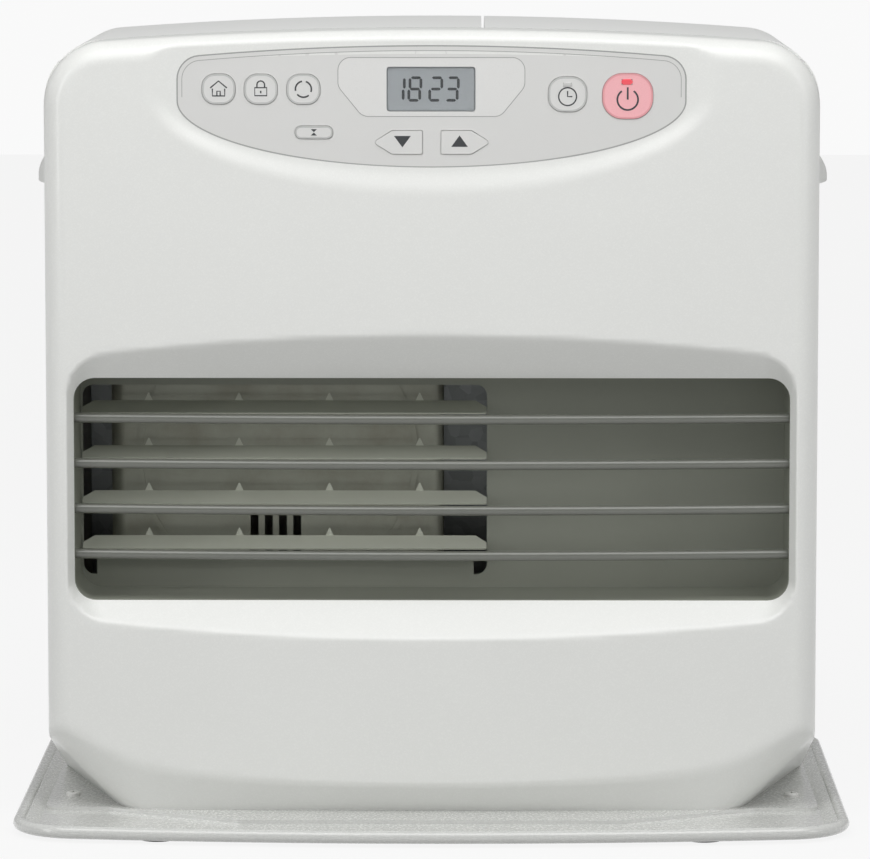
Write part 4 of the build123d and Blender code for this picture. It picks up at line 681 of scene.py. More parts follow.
# %% [markdown]
# ## Points of the front sheet
# A sheet like this shades well when its points are close where it bends and wide where it is flat.
# So the cloud has a plain grid of 5 mm, a finer one over the chin, the dish and the recess, and rings
# of points that run along each crease. A Delaunay triangulation joins them, with the outer rim and
# the two cut-outs given as edges it has to keep.

# %% Rims that the sheet must follow


CORNER_X = HALF - CORNER
CORNER_Z = HEIGHT - float(crown(CORNER_X)) - CORNER
SEAM_TURN = math.asin((SIDE_SEAM_TOP - CORNER_Z) / CORNER)


def inset_rim():
    right = [(FOOT_HALF + (RIM_HALF - FOOT_HALF) * t, FOOT + CHIN_RISE * t) for t in np.linspace(0, 1, 17)]
    right += [(RIM_HALF, z) for z in np.arange(55.5, 400.5, 3.5)]
    turns = sorted(list(np.linspace(0, math.pi / 2, 15)) + [SEAM_TURN])
    radius = CORNER - EDGE
    right += [(CORNER_X + radius * math.cos(t), CORNER_Z + radius * math.sin(t)) for t in turns]
    seam_at = len(right) - len(turns) + turns.index(SEAM_TURN)
    top = [(x, HEIGHT - float(crown(x)) - EDGE) for x in np.arange(178.0, -178.5, -4.0)]
    left = [(-x, z) for x, z in right[::-1]]
    bottom = [(x, FOOT) for x in np.arange(-156.0, 156.5, 4.0)]
    return right + top + left + bottom, len(bottom), seam_at


def evenly(outline, gap, rounding=int):
    out = []
    for (ax, az), (bx, bz) in zip(outline, outline[1:] + outline[:1]):
        pieces = max(1, int(rounding(math.hypot(bx - ax, bz - az) / gap)))
        out += [(ax + (bx - ax) * i / pieces, az + (bz - az) * i / pieces) for i in range(pieces)]
    return out


def box_rim(half, low, high, radius, gap):
    points = []
    for cx, cz, start in (
        (half - radius, high - radius, 0), (radius - half, high - radius, 90),
        (radius - half, low + radius, 180), (half - radius, low + radius, 270)
    ):
        for turn in np.linspace(start, start + 90, 9):
            a = math.radians(turn)
            points.append((cx + radius * math.cos(a), cz + radius * math.sin(a)))
    return evenly(points, gap, round)


PLATE = (140.0, 36.2, 403.0, 433.3, 1450.0, 13.0)


def plate_rim(grow, gap=2.5):
    half, drop, mid, top, radius, corner = PLATE
    half, drop, top, corner = half + grow, drop + grow, top + grow, corner + grow

    def arch(x):
        return top - (radius - math.sqrt(radius**2 - x**2))

    centre_x = half - corner
    centre_z = arch(half - corner) - corner
    right = [(half, z) for z in np.linspace(mid, centre_z, 7)]
    lean = centre_x / radius
    for turn in np.linspace(0, math.pi / 2 - lean, 10)[1:]:
        right.append((centre_x + corner * math.cos(turn), centre_z + corner * math.sin(turn)))
    reach = right[-1][0]
    over = [(x, arch(x)) for x in np.arange(reach - gap, gap / 2 - reach, -gap)]
    left = [(-x, z) for x, z in right[::-1]]
    under = []
    count = int(1.2 * 2 * half / gap)
    for step in range(1, count):
        turn = math.pi + math.pi * step / count
        under.append((half * math.cos(turn), mid + drop * math.sin(turn)))
    return right + over + left + under


rim, foot_count, seam_column = inset_rim()
throat = box_rim(*THROAT, 3.0)
plate_hole = plate_rim(0.3)
print("rim points:", len(rim), "throat:", len(throat), "plate:", len(plate_hole))

# %% The cloud of points


def grid(x0, x1, z0, z1, pitch):
    columns = max(2, int(round((x1 - x0) / pitch)) + 1)
    rows = max(2, int(round((z1 - z0) / pitch)) + 1)
    xs, zs = np.meshgrid(np.linspace(x0, x1, columns), np.linspace(z0, z1, rows))
    return np.column_stack([xs.ravel(), zs.ravel()])


def rim_half(z):
    rising = FOOT_HALF + (z - FOOT) * (RIM_HALF - FOOT_HALF) / CHIN_RISE
    return np.where(z < FOOT + CHIN_RISE, rising, RIM_HALF)


def inside_rim(x, z, margin):
    corner_z = HEIGHT - crown(x) - CORNER
    u = np.abs(x) - (HALF - CORNER)
    v = z - corner_z
    arc = corner_distance(u, v) - 20
    return (arc < -margin) & (np.abs(x) < rim_half(z) - margin) & (z > FOOT + margin)


def inside_plate(x, z, grow):
    half, drop, mid, top, radius, corner = PLATE
    under = (x / (half + grow)) ** 2 + (np.minimum(z - mid, 0) / (drop + grow)) ** 2 - 1
    level = top + grow - (radius - np.sqrt(radius**2 - np.square(x)))
    u = np.abs(x) - (half - corner)
    v = z - (level - corner)
    upper = corner_distance(u, v)
    return (under < 0) & (upper < corner + grow)


crease_x = np.arange(-200.0, 200.5, 2.0)
below, above = np.full_like(crease_x, 7.0), np.full_like(crease_x, 60.0)
for _ in range(24):
    level = (below + above) / 2
    in_front = chin_distance(crease_x, FRONT + bow(crease_x), level) > 0
    below = np.where(in_front, level, below)
    above = np.where(in_front, above, level)
cloud = [grid(-202, 202, 6, 429, 5.0)]
for lift in (-2.4, -1.2, -0.4, 0.4, 1.2, 2.4):
    cloud.append(np.column_stack([crease_x, below + lift]))
for low, high in ((8, 70), (95, 128), (240, 285), (345, 427)):
    cloud.append(grid(-202, 202, low, high, 2.5))
for share in (0.02, 0.08, 0.15, 0.25, 0.4, 0.55, 0.7, 0.85):
    half, low, high, radius = [s + (m - s) * share for m, s in zip(MOUTH, THROAT)]
    cloud.append(np.array(box_rim(half, low, high, radius, 3.0)))
for share in (-0.35, -0.2, -0.1, 0.0, 0.1, 0.2, 0.35, 0.5, 0.65, 0.8, 0.9, 1.0, 1.1, 1.2):
    half, drop, mid = [o + (i - o) * share for o, i in zip(DISH_OUTER, DISH_INNER)]
    turns = np.linspace(math.pi, 2 * math.pi, 140)
    cloud.append(np.column_stack([half * np.cos(turns), mid + drop * np.sin(turns)]))
cloud = np.vstack(cloud)
keep = inside_rim(cloud[:, 0], cloud[:, 1], 1.2)
keep &= rounded_box(cloud[:, 0], cloud[:, 1], *THROAT) > 0.8
keep &= ~inside_plate(cloud[:, 0], cloud[:, 1], 1.3)
cloud = cloud[keep]
cells = np.round(cloud / 1.1).astype(int)
_, first = np.unique(cells, axis=0, return_index=True)
cloud = cloud[np.sort(first)]
print("points in the cloud:", len(cloud))

# %% [markdown]
# The rolled edge is not seen along -y, so it has a strip of its own. Each rim point sends rays from a
# centre behind the edge, turning from straight ahead to straight outwards, and then rows run back
# to the seam with the side panels and the top.

# %% Triangulate the face


def outline_edges(start, count):
    return [(start + i, start + (i + 1) % count) for i in range(count)]


flat = np.vstack([np.array(rim), np.array(throat), np.array(plate_hole), cloud])
edges = outline_edges(0, len(rim))
edges += outline_edges(len(rim), len(throat))
edges += outline_edges(len(rim) + len(throat), len(plate_hole))
fixed = delaunay_2d_cdt([tuple(p) for p in flat], edges, [], 0, 1e-6)
spots = np.array([tuple(p) for p in fixed[0]])
faces = np.array([f for f in fixed[2] if len(f) == 3])
middle = spots[faces].mean(axis=1)
keep = inside_rim(middle[:, 0], middle[:, 1], -0.02)
keep &= rounded_box(middle[:, 0], middle[:, 1], *THROAT) > 0
keep &= ~inside_plate(middle[:, 0], middle[:, 1], 0.3)
faces = faces[keep]
side = spots[faces]
turn = np.cross(side[:, 1] - side[:, 0], side[:, 2] - side[:, 0])
faces[turn < 0] = faces[turn < 0][:, ::-1]
print("spots:", len(spots), "of", len(flat), "faces:", len(faces))

# %% Lift the face off the form
origin = np.column_stack([spots[:, 0], np.full(len(spots), -60.0), spots[:, 1]])
ahead = np.tile([0.0, -1.0, 0.0], (len(spots), 1))
dish = dish_depth(spots[:, 0], spots[:, 1])
face_points = cast(origin, ahead, 60, dish)
used = np.unique(faces)
print("depth of the face:", face_points[used, 1].min().round(2), "to", face_points[used, 1].max().round(2))

# %% [markdown]
# ## The rolled edge
# Rows of rays turn outwards from each rim point. Near straight ahead they are close together, because
# the recess's soft mouth starts there. Three more rows run back to the side seam at y = -62, and
# over the top seven more roll down into the seam at y = -44.2.

# %% Cast the strip
columns = len(rim) - foot_count
where = {}
for new, sources in enumerate(fixed[3]):
    for source in sources:
        where[source] = new
base_row = np.array([where[i] for i in range(columns)])


def outward(x, z):
    if z < CORNER_Z:
        return (math.copysign(1.0, x), 0.0)
    if abs(x) > CORNER_X:
        u, v = abs(x) - CORNER_X, z - CORNER_Z
        return (math.copysign(u, x) / math.hypot(u, v), v / math.hypot(u, v))
    return (x / CROWN, math.sqrt(1 - (x / CROWN) ** 2))


rim_xz = np.array(rim[:columns])
away = np.array([outward(x, z) for x, z in rim_xz])
low_share = np.clip((rim_xz[:, 1] - FOOT) / CHIN_RISE, 0, 1)
high_y = FRONT + EDGE + bow(rim_xz[:, 0])
centre_y = RAY_CENTRE_Y + (high_y - RAY_CENTRE_Y) * low_share
centre = np.column_stack([rim_xz[:, 0], centre_y, rim_xz[:, 1]])
sideways = np.column_stack([away[:, 0], np.zeros(columns), away[:, 1]])
TURNS = (1.5, 3, 4.5, 6, 8, 11, 15, 20, 26, 33, 41, 50, 60, 70, 80, 90)
rows = []
for degrees in TURNS:
    a = math.radians(degrees)
    ray = sideways * math.sin(a) + np.array([0.0, -math.cos(a), 0.0])
    rows.append(cast(centre, ray, 40))
for share in (1 / 3, 2 / 3, 1):
    start = centre.copy()
    start[:, 1] = centre_y + (SIDE_SEAM_Y - centre_y) * share
    rows.append(cast(start, sideways, 40))
print("strip rows:", len(rows), "columns:", columns)

# %% Rows over the top
last = columns - 1 - seam_column
over = slice(seam_column, last + 1)
top_rows = []
TOP_ROWS = (
    (-56.0, 0.0), (-50.5, 0.0), (-48.2, 0.0), (-47.0, 0.13), (-46.0, 0.5), (-45.0, 1.2), (-44.2, 2.3)
)
for y, drop in TOP_ROWS:
    start = centre[over].copy()
    start[:, 1] = y
    top_rows.append(cast(start, sideways[over], 40) - sideways[over] * drop)
strip = np.vstack(rows)
top_strip = np.vstack(top_rows)
count = len(face_points)
points = np.vstack([face_points, strip, top_strip])
grid_index = [base_row] + [count + columns * r + np.arange(columns) for r in range(len(rows))]
quads = []
for near, far in zip(grid_index, grid_index[1:]):
    for i in range(columns - 1):
        quads.append((near[i], near[i + 1], far[i + 1], far[i]))
width = last + 1 - seam_column
top_index = [grid_index[-1][over]]
top_index += [count + len(strip) + width * r + np.arange(width) for r in range(len(top_rows))]
for near, far in zip(top_index, top_index[1:]):
    for i in range(width - 1):
        quads.append((near[i], near[i + 1], far[i + 1], far[i]))
print("strip quads:", len(quads), "seam at height", points[grid_index[-1][seam_column], 2].round(2))

# %% [markdown]
# ## From a surface to a sheet
# A pressing has a wall. Each point gets a twin 1.5 mm inside along its own normal, and the free
# edges are closed with narrow quads. The normals that light the sheet come from the formula
# itself, so even a coarse triangle shades as a smooth curve.

# %% One function for a shell


def shell(name, points, polygons, normals, wall, slot_name, body):
    used = sorted({i for polygon in polygons for i in polygon})
    renumber = {old: new for new, old in enumerate(used)}
    points = points[used]
    normals = normals[used]
    outer = []
    for polygon in polygons:
        ring = [renumber[i] for i in polygon]
        a, b, c = points[ring[0]], points[ring[1]], points[ring[2]]
        facing = np.dot(np.cross(b - a, c - a), normals[ring[0]])
        outer.append(ring if facing > 0 else ring[::-1])
    count = len(points)
    inner = [[i + count for i in ring[::-1]] for ring in outer]
    directed = {(ring[i - 1], ring[i]) for ring in outer for i in range(len(ring))}
    free = [(a, b) for a, b in directed if (b, a) not in directed]
    walls = [[b, a, a + count, b + count] for a, b in free]
    everything = np.vstack([points, points - normals * wall]) * MM
    mesh = bpy.data.meshes.new(name)
    mesh.from_pydata(everything.tolist(), [], outer + inner + walls)
    mesh.polygons.foreach_set("use_smooth", [True] * (2 * len(outer)) + [False] * len(walls))
    mesh.update()
    both = np.vstack([normals, -normals])
    loop_normals = [both[i] for ring in outer + inner for i in ring]
    for polygon in list(mesh.polygons)[2 * len(outer) :]:
        loop_normals += [polygon.normal] * 4
    mesh.normals_split_custom_set([tuple(n) for n in loop_normals])
    piece = new_object(name, mesh)
    mesh.materials.append(finishes[slot_name])
    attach(piece, body)
    return piece


polygons = [tuple(f) for f in faces] + quads
normals = slope(points)
for row, lean in ((4, 0.25), (3, 0.55), (2, 1.1), (1, 2.2)):
    turned = slice(len(points) - width * row, len(points) - width * (row - 1))
    normals[turned] += np.array([0.0, lean, 0.0])
normals /= np.linalg.norm(normals, axis=1)[:, None]
front_sheet = shell("front_sheet", points, polygons, normals, SHEET, "front_enamel", "cabinet")
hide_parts("front_panel")
print("front sheet faces:", len(front_sheet.data.polygons))

# %% [markdown]
# ## Print and icons
# Pad printing lays ink a few hundredths of a millimetre thick. Each line is a flat ribbon with a
# real edge, laid on the bowed plate or on its key, so it moves when the key is pressed. The house,
# the padlock and the hourglass are this lesson's own signs. The three chasing arcs, the clock, the
# power sign and the triangles are the signs that such keys usually carry. No lettering is printed.

# %% Ink and ribbons
# Pad ink is dense and matt, with slightly soft borders
surface("plate_ink", "dark grey pad print", "#3E4042", 0.5, drift=(0.05, 3), relief=(0.3, 0.001))
# Painted shade: a joint is dark because light does not come out of it, so a grey strip laid along each joint
# and step paints that shade
surface("gap_painted_shade", "shadow gap between mouldings", "#A2A3A1", 0.55, drift=(0.04, 20), relief=(0.4, 0.001))
# An active bar is nearly black and has no shine of its own
surface("cell_ink", "dark liquid-crystal bar", "#34383B", 0.5, drift=(0.05, 3), relief=(0.3, 0.0005))
# Painted shade: a grey ring, darker than the key, along each key's rounded edge
surface("rim_ink", "soft key rim print", "#C3C4C2", 0.45, drift=(0.03, 6), relief=(0.4, 0.001))
# Painted shade: a deeper pink ring where the power key's edge turns away from the light
surface("power_rim_ink", "deep pink key rim", "#E9A3A8", 0.4, drift=(0.03, 6), relief=(0.4, 0.001))
# Red light fills the lens, so it looks brighter than its key
surface("lit_lamp", "lit red lens", "#FF5A66", 0.2, ior=1.58, coat=0.4, drift=(0.05, 2), relief=(0.5, 0.002))
PLATE_FACE = FRONT + 3.0
KEY_FACE = PLATE_FACE - 0.5
INK = 0.05


def strip_quads(count, closed=False):
    quads = []
    for i in range(count if closed else count - 1):
        a, b = 4 * i, 4 * ((i + 1) % count)
        quads += [(a, a + 2, b + 2, b), (a + 1, b + 1, b + 3, a + 3)]
        quads += [(a, b, b + 1, a + 1), (a + 2, a + 3, b + 3, b + 2)]
    if not closed:
        quads += [(0, 1, 3, 2), (b, b + 2, b + 3, b + 1)]
    return quads


def ribbon(path, width, level, closed=False):
    count = len(path)
    spine = np.array(path, dtype=float)
    verts = []
    for i in range(count):
        before = spine[i - 1] if closed or i else spine[i]
        after = spine[(i + 1) % count] if closed or i < count - 1 else spine[i]
        run = after - before
        run /= np.linalg.norm(run)
        across = np.array([-run[1], run[0]]) * width / 2
        for sign in (1, -1):
            x, z = spine[i] + sign * across
            y = level + float(bow(x))
            verts.append((x, y - INK, z))
            verts.append((x, y + INK, z))
    return verts, strip_quads(count, closed)


def patch(outline, level):
    count = len(outline)
    verts = []
    for x, z in outline:
        y = level + float(bow(x))
        verts += [(x, y - INK, z), (x, y + INK, z)]
    quads = [tuple(2 * i for i in range(count))[::-1], tuple(2 * i + 1 for i in range(count))]
    quads += [(2 * i, 2 * ((i + 1) % count), 2 * ((i + 1) % count) + 1, 2 * i + 1) for i in range(count)]
    return verts, quads


def print_piece(name, shapes, ink, body):
    verts, quads = [], []
    for shape_verts, shape_quads in shapes:
        shift = len(verts)
        verts += [tuple(c * MM for c in v) for v in shape_verts]
        quads += [tuple(i + shift for i in quad) for quad in shape_quads]
    mesh = bpy.data.meshes.new(name)
    mesh.from_pydata(verts, [], quads)
    mesh.update()
    piece = new_object(name, mesh)
    face_outwards(mesh)
    mesh.materials.append(finishes[ink])
    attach(piece, body)
    return piece


def ring(x, z, radius, start=0.0, end=360.0, count=40):
    turns = [math.radians(start + (end - start) * i / count) for i in range(count + 1)]
    return [(x + radius * math.cos(t), z + radius * math.sin(t)) for t in turns]


print("ink thickness:", 2 * INK, "mm")

# %% [markdown]
# The plate sits in the dish with a joint all round and a moulded step just inside its top edge; grey strips
# along both paint their shade.
# The bezel has a fine joint too, with a strip of painted shade.

# %% Joints round the plate and the bezel
plate_joint = ribbon(plate_rim(0.1), 0.75, PLATE_FACE, closed=True)
upper_rim = ribbon([(x, z) for x, z in plate_rim(-1.4) if z > 404], 1.9, PLATE_FACE)
step_line = ribbon([(x, z) for x, z in plate_rim(-2.5) if z > 404], 0.35, PLATE_FACE)
print_piece("plate_rim", [upper_rim], "control_plastic", "cabinet")
# The joint round the plate and the step line are grey strips of painted shade
print_piece("plate_joint", [plate_joint, step_line], "gap_painted_shade", "cabinet")


# A grey strip stands in the top seam, painted shade for the gap between the front sheet and the top
seam_top = top_rows[-1] + sideways[over] * 2.2
seam_low = top_rows[-1] - sideways[over] * 0.1
seam_verts = []
for top, low in zip(seam_top, seam_low):
    seam_verts += [(top[0], -44.1, top[2]), (top[0], -43.9, top[2])]
    seam_verts += [(low[0], -44.1, low[2]), (low[0], -43.9, low[2])]
print_piece("top_seam", [(seam_verts, strip_quads(len(seam_top)))], "gap_painted_shade", "cabinet")


def rounded_outline(corners, radius, count=8):
    outline = []
    total = len(corners)
    for i, corner in enumerate(corners):
        here = np.array(corner, dtype=float)
        before = np.array(corners[i - 1], dtype=float) - here
        after = np.array(corners[(i + 1) % total], dtype=float) - here
        before /= np.linalg.norm(before)
        after /= np.linalg.norm(after)
        half = math.acos(float(np.clip(np.dot(before, after), -1, 1))) / 2
        reach = radius / math.tan(half)
        bisector = (before + after) / np.linalg.norm(before + after)
        middle = here + bisector * radius / math.sin(half)
        first, last = here + before * reach, here + after * reach
        a0 = math.atan2(*(first - middle)[::-1])
        a1 = math.atan2(*(last - middle)[::-1])
        sweep = (a1 - a0 + math.pi) % (2 * math.pi) - math.pi
        for step in range(count + 1):
            a = a0 + sweep * step / count
            outline.append((middle[0] + radius * math.cos(a), middle[1] + radius * math.sin(a)))
    return outline


BEZEL = [(51.4, 427.0), (51.4, 411.0), (38.0, 394.6), (-38.0, 394.6), (-51.4, 411.0), (-51.4, 427.0)]
bezel_outline = evenly(rounded_outline(BEZEL, 7.0), 3.0)
# The bezel's joint is a grey strip of painted shade
print_piece(
    "bezel_joint", [ribbon(bezel_outline, 0.4, PLATE_FACE, closed=True)], "gap_painted_shade",
    "cabinet"
)
print("bezel outline points:", len(bezel_outline))

# %% [markdown]
# Each key's icon rides on that key's own body. Strokes are ribbons about 0.75 mm wide.

# %% Icons on the keys
ECO = (-117.2, 409.5)
LOCK = (-93.9, 409.5)
TURN = (-70.4, 409.5)
RUN_ON = (-64.7, 385.8)
TIMER = (74.9, 406.8)
POWER = (108.0, 405.7)
STROKE = 0.75


def at(place, points):
    return [(place[0] + x, place[1] + z) for x, z in points]


def stroke(place, line, width=STROKE, closed=False):
    return ribbon(at(place, line), width, KEY_FACE, closed)


def icon(key, shapes):
    print_piece(key + "_icon", shapes, "plate_ink", key + "_key")


house = [(-4.6, 0.6), (0, 4.4), (4.6, 0.6)]
walls = [(-3.4, 0.2), (-3.4, -3.8), (3.4, -3.8), (3.4, 0.2)]
door = [(-0.9, -3.8), (-0.9, -1.2), (0.9, -1.2), (0.9, -3.8)]
eco = [stroke(ECO, line) for line in (house, walls, door)]
icon("eco", eco)

padlock = [(-3.3, -3.6), (3.3, -3.6), (3.3, 0.8), (-3.3, 0.8)]
shackle = [(-2.1, 0.8), (-2.1, 2.4)] + ring(0, 2.4, 2.1, 180, 0, 14) + [(2.1, 0.8)]
keyhole = stroke(LOCK, [(0, -0.9), (0, -2.3)], 0.8)
icon("lock", [stroke(LOCK, padlock, closed=True), stroke(LOCK, shackle), keyhole])

arcs = [stroke(TURN, ring(0, 0, 4.4, start, start + 92, 14), 0.9) for start in (100, 220, 340)]
icon("circulation", arcs)

clock = stroke(TIMER, ring(0, -1.3, 4.9)[:-1], closed=True)
icon("timer", [clock, stroke(TIMER, [(0, 1.8), (0, -1.3), (2.6, -1.3)])])

bulb_top = [(-1.7, 1.75), (1.7, 1.75), (0.0, 0.1)]
bulb_low = [(1.7, -1.75), (-1.7, -1.75), (0.0, -0.1)]
icon("run_on", [patch(at(RUN_ON, bulb), KEY_FACE) for bulb in (bulb_top, bulb_low)])

power = [stroke(POWER, ring(0, -1.9, 5.7, 125, 415, 40), 1.0), stroke(POWER, [(0, 4.9), (0, -1.9)], 1.0)]
icon("power", power)
icon("down", [patch([(-20.6, 383.9), (-11.3, 383.9), (-15.95, 377.6)], KEY_FACE)])
icon("up", [patch([(10.9, 377.9), (20.1, 377.9), (15.5, 384.2)], KEY_FACE)])

RINGS = {
    "eco_key": (ECO, 18.2, 16.5, 7.0), "lock_key": (LOCK, 18.2, 16.5, 7.0),
    "circulation_key": (TURN, 18.2, 16.5, 7.0), "run_on_key": (RUN_ON, 20.8, 7.0, 3.3),
    "timer_key": (TIMER, 21.1, 19.1, 8.0), "power_key": (POWER, 27.7, 24.9, 11.0)
}
# Each key's rounded edge gets a ring of painted shade, laid on the key's own body
for body, (place, wide, high, corner) in RINGS.items():
    reach_x, reach_z = wide / 2 - 0.55, high / 2 - 0.55
    box = [(reach_x, reach_z), (reach_x, -reach_z), (-reach_x, -reach_z), (-reach_x, reach_z)]
    edge = evenly(rounded_outline(at(place, box), corner - 0.6), 2.0)
    ink = "rim_ink" if body != "power_key" else "power_rim_ink"
    slot_name = "button_plastic" if body != "power_key" else "power_plastic"
    line = ribbon(edge, 0.9, KEY_FACE, closed=True)
    print_piece(body.replace("key", "rim"), [line], ink, body)
print("icons printed, rims:", len(RINGS))

# %% [markdown]
# The two lamps are pill-shaped lenses that stand in the keys' upper edge. The power lamp is lit.
# A lens bulges a little, so its rings step outwards and forwards like a shallow dome.

# %% Lamps


def lens(name, place, wide, high, ink):
    outline = []
    for side in (1, -1):
        for turn in np.linspace(-90, 90, 9):
            a = math.radians(turn)
            x = side * ((wide - high) / 2 + high / 2 * math.cos(a))
            outline.append((x, side * high / 2 * math.sin(a)))
    verts, quads = [], []
    for share, rise in ((1.0, -0.2), (1.0, 0.08), (0.94, 0.17), (0.8, 0.26), (0.5, 0.33)):
        for x, z in outline:
            px = place[0] + x * share
            verts.append((px, KEY_FACE + float(bow(px)) - rise, place[1] + z * share))
    total = len(outline)
    for row in range(4):
        for i in range(total):
            j = (i + 1) % total
            quads.append((row * total + i, row * total + j, (row + 1) * total + j, (row + 1) * total + i))
    quads += [tuple(range(total))[::-1], tuple(range(4 * total, 5 * total))]
    return print_piece(name, [(verts, quads)], ink, "cabinet")


lens("timer_lamp", (74.9, 412.0), 5.0, 2.4, "lamp_plastic")
lens("power_lamp", (107.6, 413.5), 6.3, 3.2, "lit_lamp")
print("lamps: 2")

# %% [markdown]
# ## Digits of the display
# A liquid-crystal digit is seven bars with pointed ends, on a slant of a few degrees. Geometry Nodes
# repeat one bar over the places where bars are dark: the script gives a mesh of points, one for each
# bar, with the bar's turn as an attribute, and the tree puts a bar on each.

# %% Bars of the digits
SHOWN = ("1", "8", " ", "2", "3")
SEGMENTS = {"1": "bc", "2": "abged", "3": "abgcd", "8": "abcdefg", " ": ""}
BARS = {
    "a": (0.0, 1.0, 0), "b": (0.5, 0.5, 1), "c": (0.5, -0.5, 1), "d": (0.0, -1.0, 0),
    "e": (-0.5, -0.5, 1), "f": (-0.5, 0.5, 1), "g": (0.0, 0.0, 0)
}
DIGIT_WIDE = 6.0
DIGIT_HALF = 6.2
DIGIT_MID = 409.6
DIGIT_LEAN = 6
PLATE_THICK, CELL_GAP, CELL_SUNK = 2.5, 0.2, 0.6
CELL_Y = PLATE_FACE + PLATE_THICK + CELL_GAP - CELL_SUNK
DIGIT_X = (-18.2, -9.1, 0.0, 2.4, 11.5)

bar_places = []
for digit, x in zip(SHOWN, DIGIT_X):
    for segment in SEGMENTS[digit]:
        across, up_, upright = BARS[segment]
        z = DIGIT_MID + up_ * DIGIT_HALF
        slant = (z - DIGIT_MID) * math.tan(math.radians(DIGIT_LEAN))
        bar_places.append((x + across * DIGIT_WIDE + slant, z, upright))
dots = bpy.data.meshes.new("display_digits")
dots.from_pydata([(x * MM, (CELL_Y - 0.15) * MM, z * MM) for x, z, _ in bar_places], [], [])
upright_values = dots.attributes.new("upright", "FLOAT", "POINT")
upright_values.data.foreach_set("value", [float(u) for _, _, u in bar_places])
digits = new_object("display_digits", dots)


def bar_shape():
    half, thick = 2.75, 0.75
    outline = [(-half, 0), (-half + thick, thick), (half - thick, thick), (half, 0)]
    outline += [(half - thick, -thick), (-half + thick, -thick)]
    mesh = bpy.data.meshes.new("bar")
    front = [(x * MM, -0.02 * MM, z * MM) for x, z in outline]
    rear = [(x * MM, 0.02 * MM, z * MM) for x, z in outline]
    sides = [(i, i + 6, (i + 1) % 6 + 6, (i + 1) % 6) for i in range(6)]
    mesh.from_pydata(front + rear, [], [tuple(range(6)), tuple(range(11, 5, -1))] + sides)
    face_outwards(mesh)
    return bpy.data.objects.new("bar", mesh)


def node_group(name, inputs):
    tree = bpy.data.node_groups.new(name, "GeometryNodeTree")
    tree.interface.new_socket("Geometry", in_out="INPUT", socket_type="NodeSocketGeometry")
    sockets = {}
    for label, kind in inputs.items():
        sockets[label] = tree.interface.new_socket(label, in_out="INPUT", socket_type="NodeSocket" + kind)
    tree.interface.new_socket("Geometry", in_out="OUTPUT", socket_type="NodeSocketGeometry")
    return tree, sockets, add_node(tree, "NodeGroupInput")


def repeat_shape(tree, links, finish):
    placed = add_node(tree, "GeometryNodeInstanceOnPoints", links=links)
    real = add_node(tree, "GeometryNodeRealizeInstances", links={"Geometry": placed.outputs["Instances"]})
    coloured = add_node(
        tree, "GeometryNodeSetMaterial", values={"Material": finishes[finish]},
        links={"Geometry": real.outputs["Geometry"]}
    )
    add_node(tree, "NodeGroupOutput", links={"Geometry": coloured.outputs["Geometry"]})


def bake_nodes(piece, tree, sockets, values):
    modifier = piece.modifiers.new("nodes", "NODES")
    modifier.node_group = tree
    for label, value in values.items():
        modifier[sockets[label].identifier] = value
    bpy.context.view_layer.update()
    seen = piece.evaluated_get(bpy.context.evaluated_depsgraph_get())
    mesh = bpy.data.meshes.new_from_object(seen)
    piece.modifiers.remove(modifier)
    piece.data = mesh


bar_inputs = {"Bar": "Object", "Upright length": "Float", "Slant": "Float"}
tree, bar_sockets, group_in = node_group("repeat_bars", bar_inputs)
bar_info = add_node(tree, "GeometryNodeObjectInfo", links={"Object": group_in.outputs["Bar"]})
upright = add_node(tree, "GeometryNodeInputNamedAttribute", {"data_type": "FLOAT"}, {"Name": "upright"})
quarter = add_node(
    tree, "ShaderNodeMath", {"operation": "MULTIPLY_ADD"}, {1: -math.pi / 2},
    {0: upright.outputs["Attribute"], 2: group_in.outputs["Slant"]}
)
spin = add_node(tree, "ShaderNodeCombineXYZ", links={"Y": quarter.outputs["Value"]})
grow = add_node(
    tree, "ShaderNodeMath", {"operation": "MULTIPLY_ADD"}, {2: 1.0},
    {0: upright.outputs["Attribute"], 1: group_in.outputs["Upright length"]}
)
stretch_bar = add_node(
    tree, "ShaderNodeCombineXYZ", values={"Y": 1.0, "Z": 1.0}, links={"X": grow.outputs["Value"]}
)
bar_links = {"Points": group_in.outputs["Geometry"], "Instance": bar_info.outputs["Geometry"]}
bar_links |= {"Rotation": spin.outputs["Vector"], "Scale": stretch_bar.outputs["Vector"]}
repeat_shape(tree, bar_links, "cell_ink")

bar = bar_shape()
bake_nodes(digits, tree, bar_sockets, {"Bar": bar, "Upright length": 0.06, "Slant": 0.0})
bpy.data.objects.remove(bar)
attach(digits, "cabinet")
print("digit bars:", len(bar_places), "faces:", len(digits.data.polygons))

# %% [markdown]
# ## Louvre slats
# The four slats are lanced out of the outlet's rear wall: each is cut on three sides and bent
# forward about its top edge, with the corners cut off beside the bend. Small darts stand above each
# bend. One slat is a bent strip in a short mesh, and Geometry Nodes put copies one pitch apart.

# %% One slat
SLAT_LEFT, SLAT_RIGHT, SLAT_TOP = -197.9, 30.7, 230.2
SLAT_PITCH = 25.7
SLAT_COUNT = 4
DART_COUNT, DART_FIRST, DART_PITCH = 4, 37.1, 51.2
SLAT_SHEET = 1.0
BEND = [(-17.0, -2.6, 6.5), (-17.0, -1.1, 6.5), (-17.3, -0.45, 6.5), (-18.2, -0.1, 6.3)]
BEND += [(-20.0, -0.9, 4.6), (-24.5, -3.15, 0.0), (-29.2, -5.5, 0.0), (-29.9, -5.85, 0.8)]


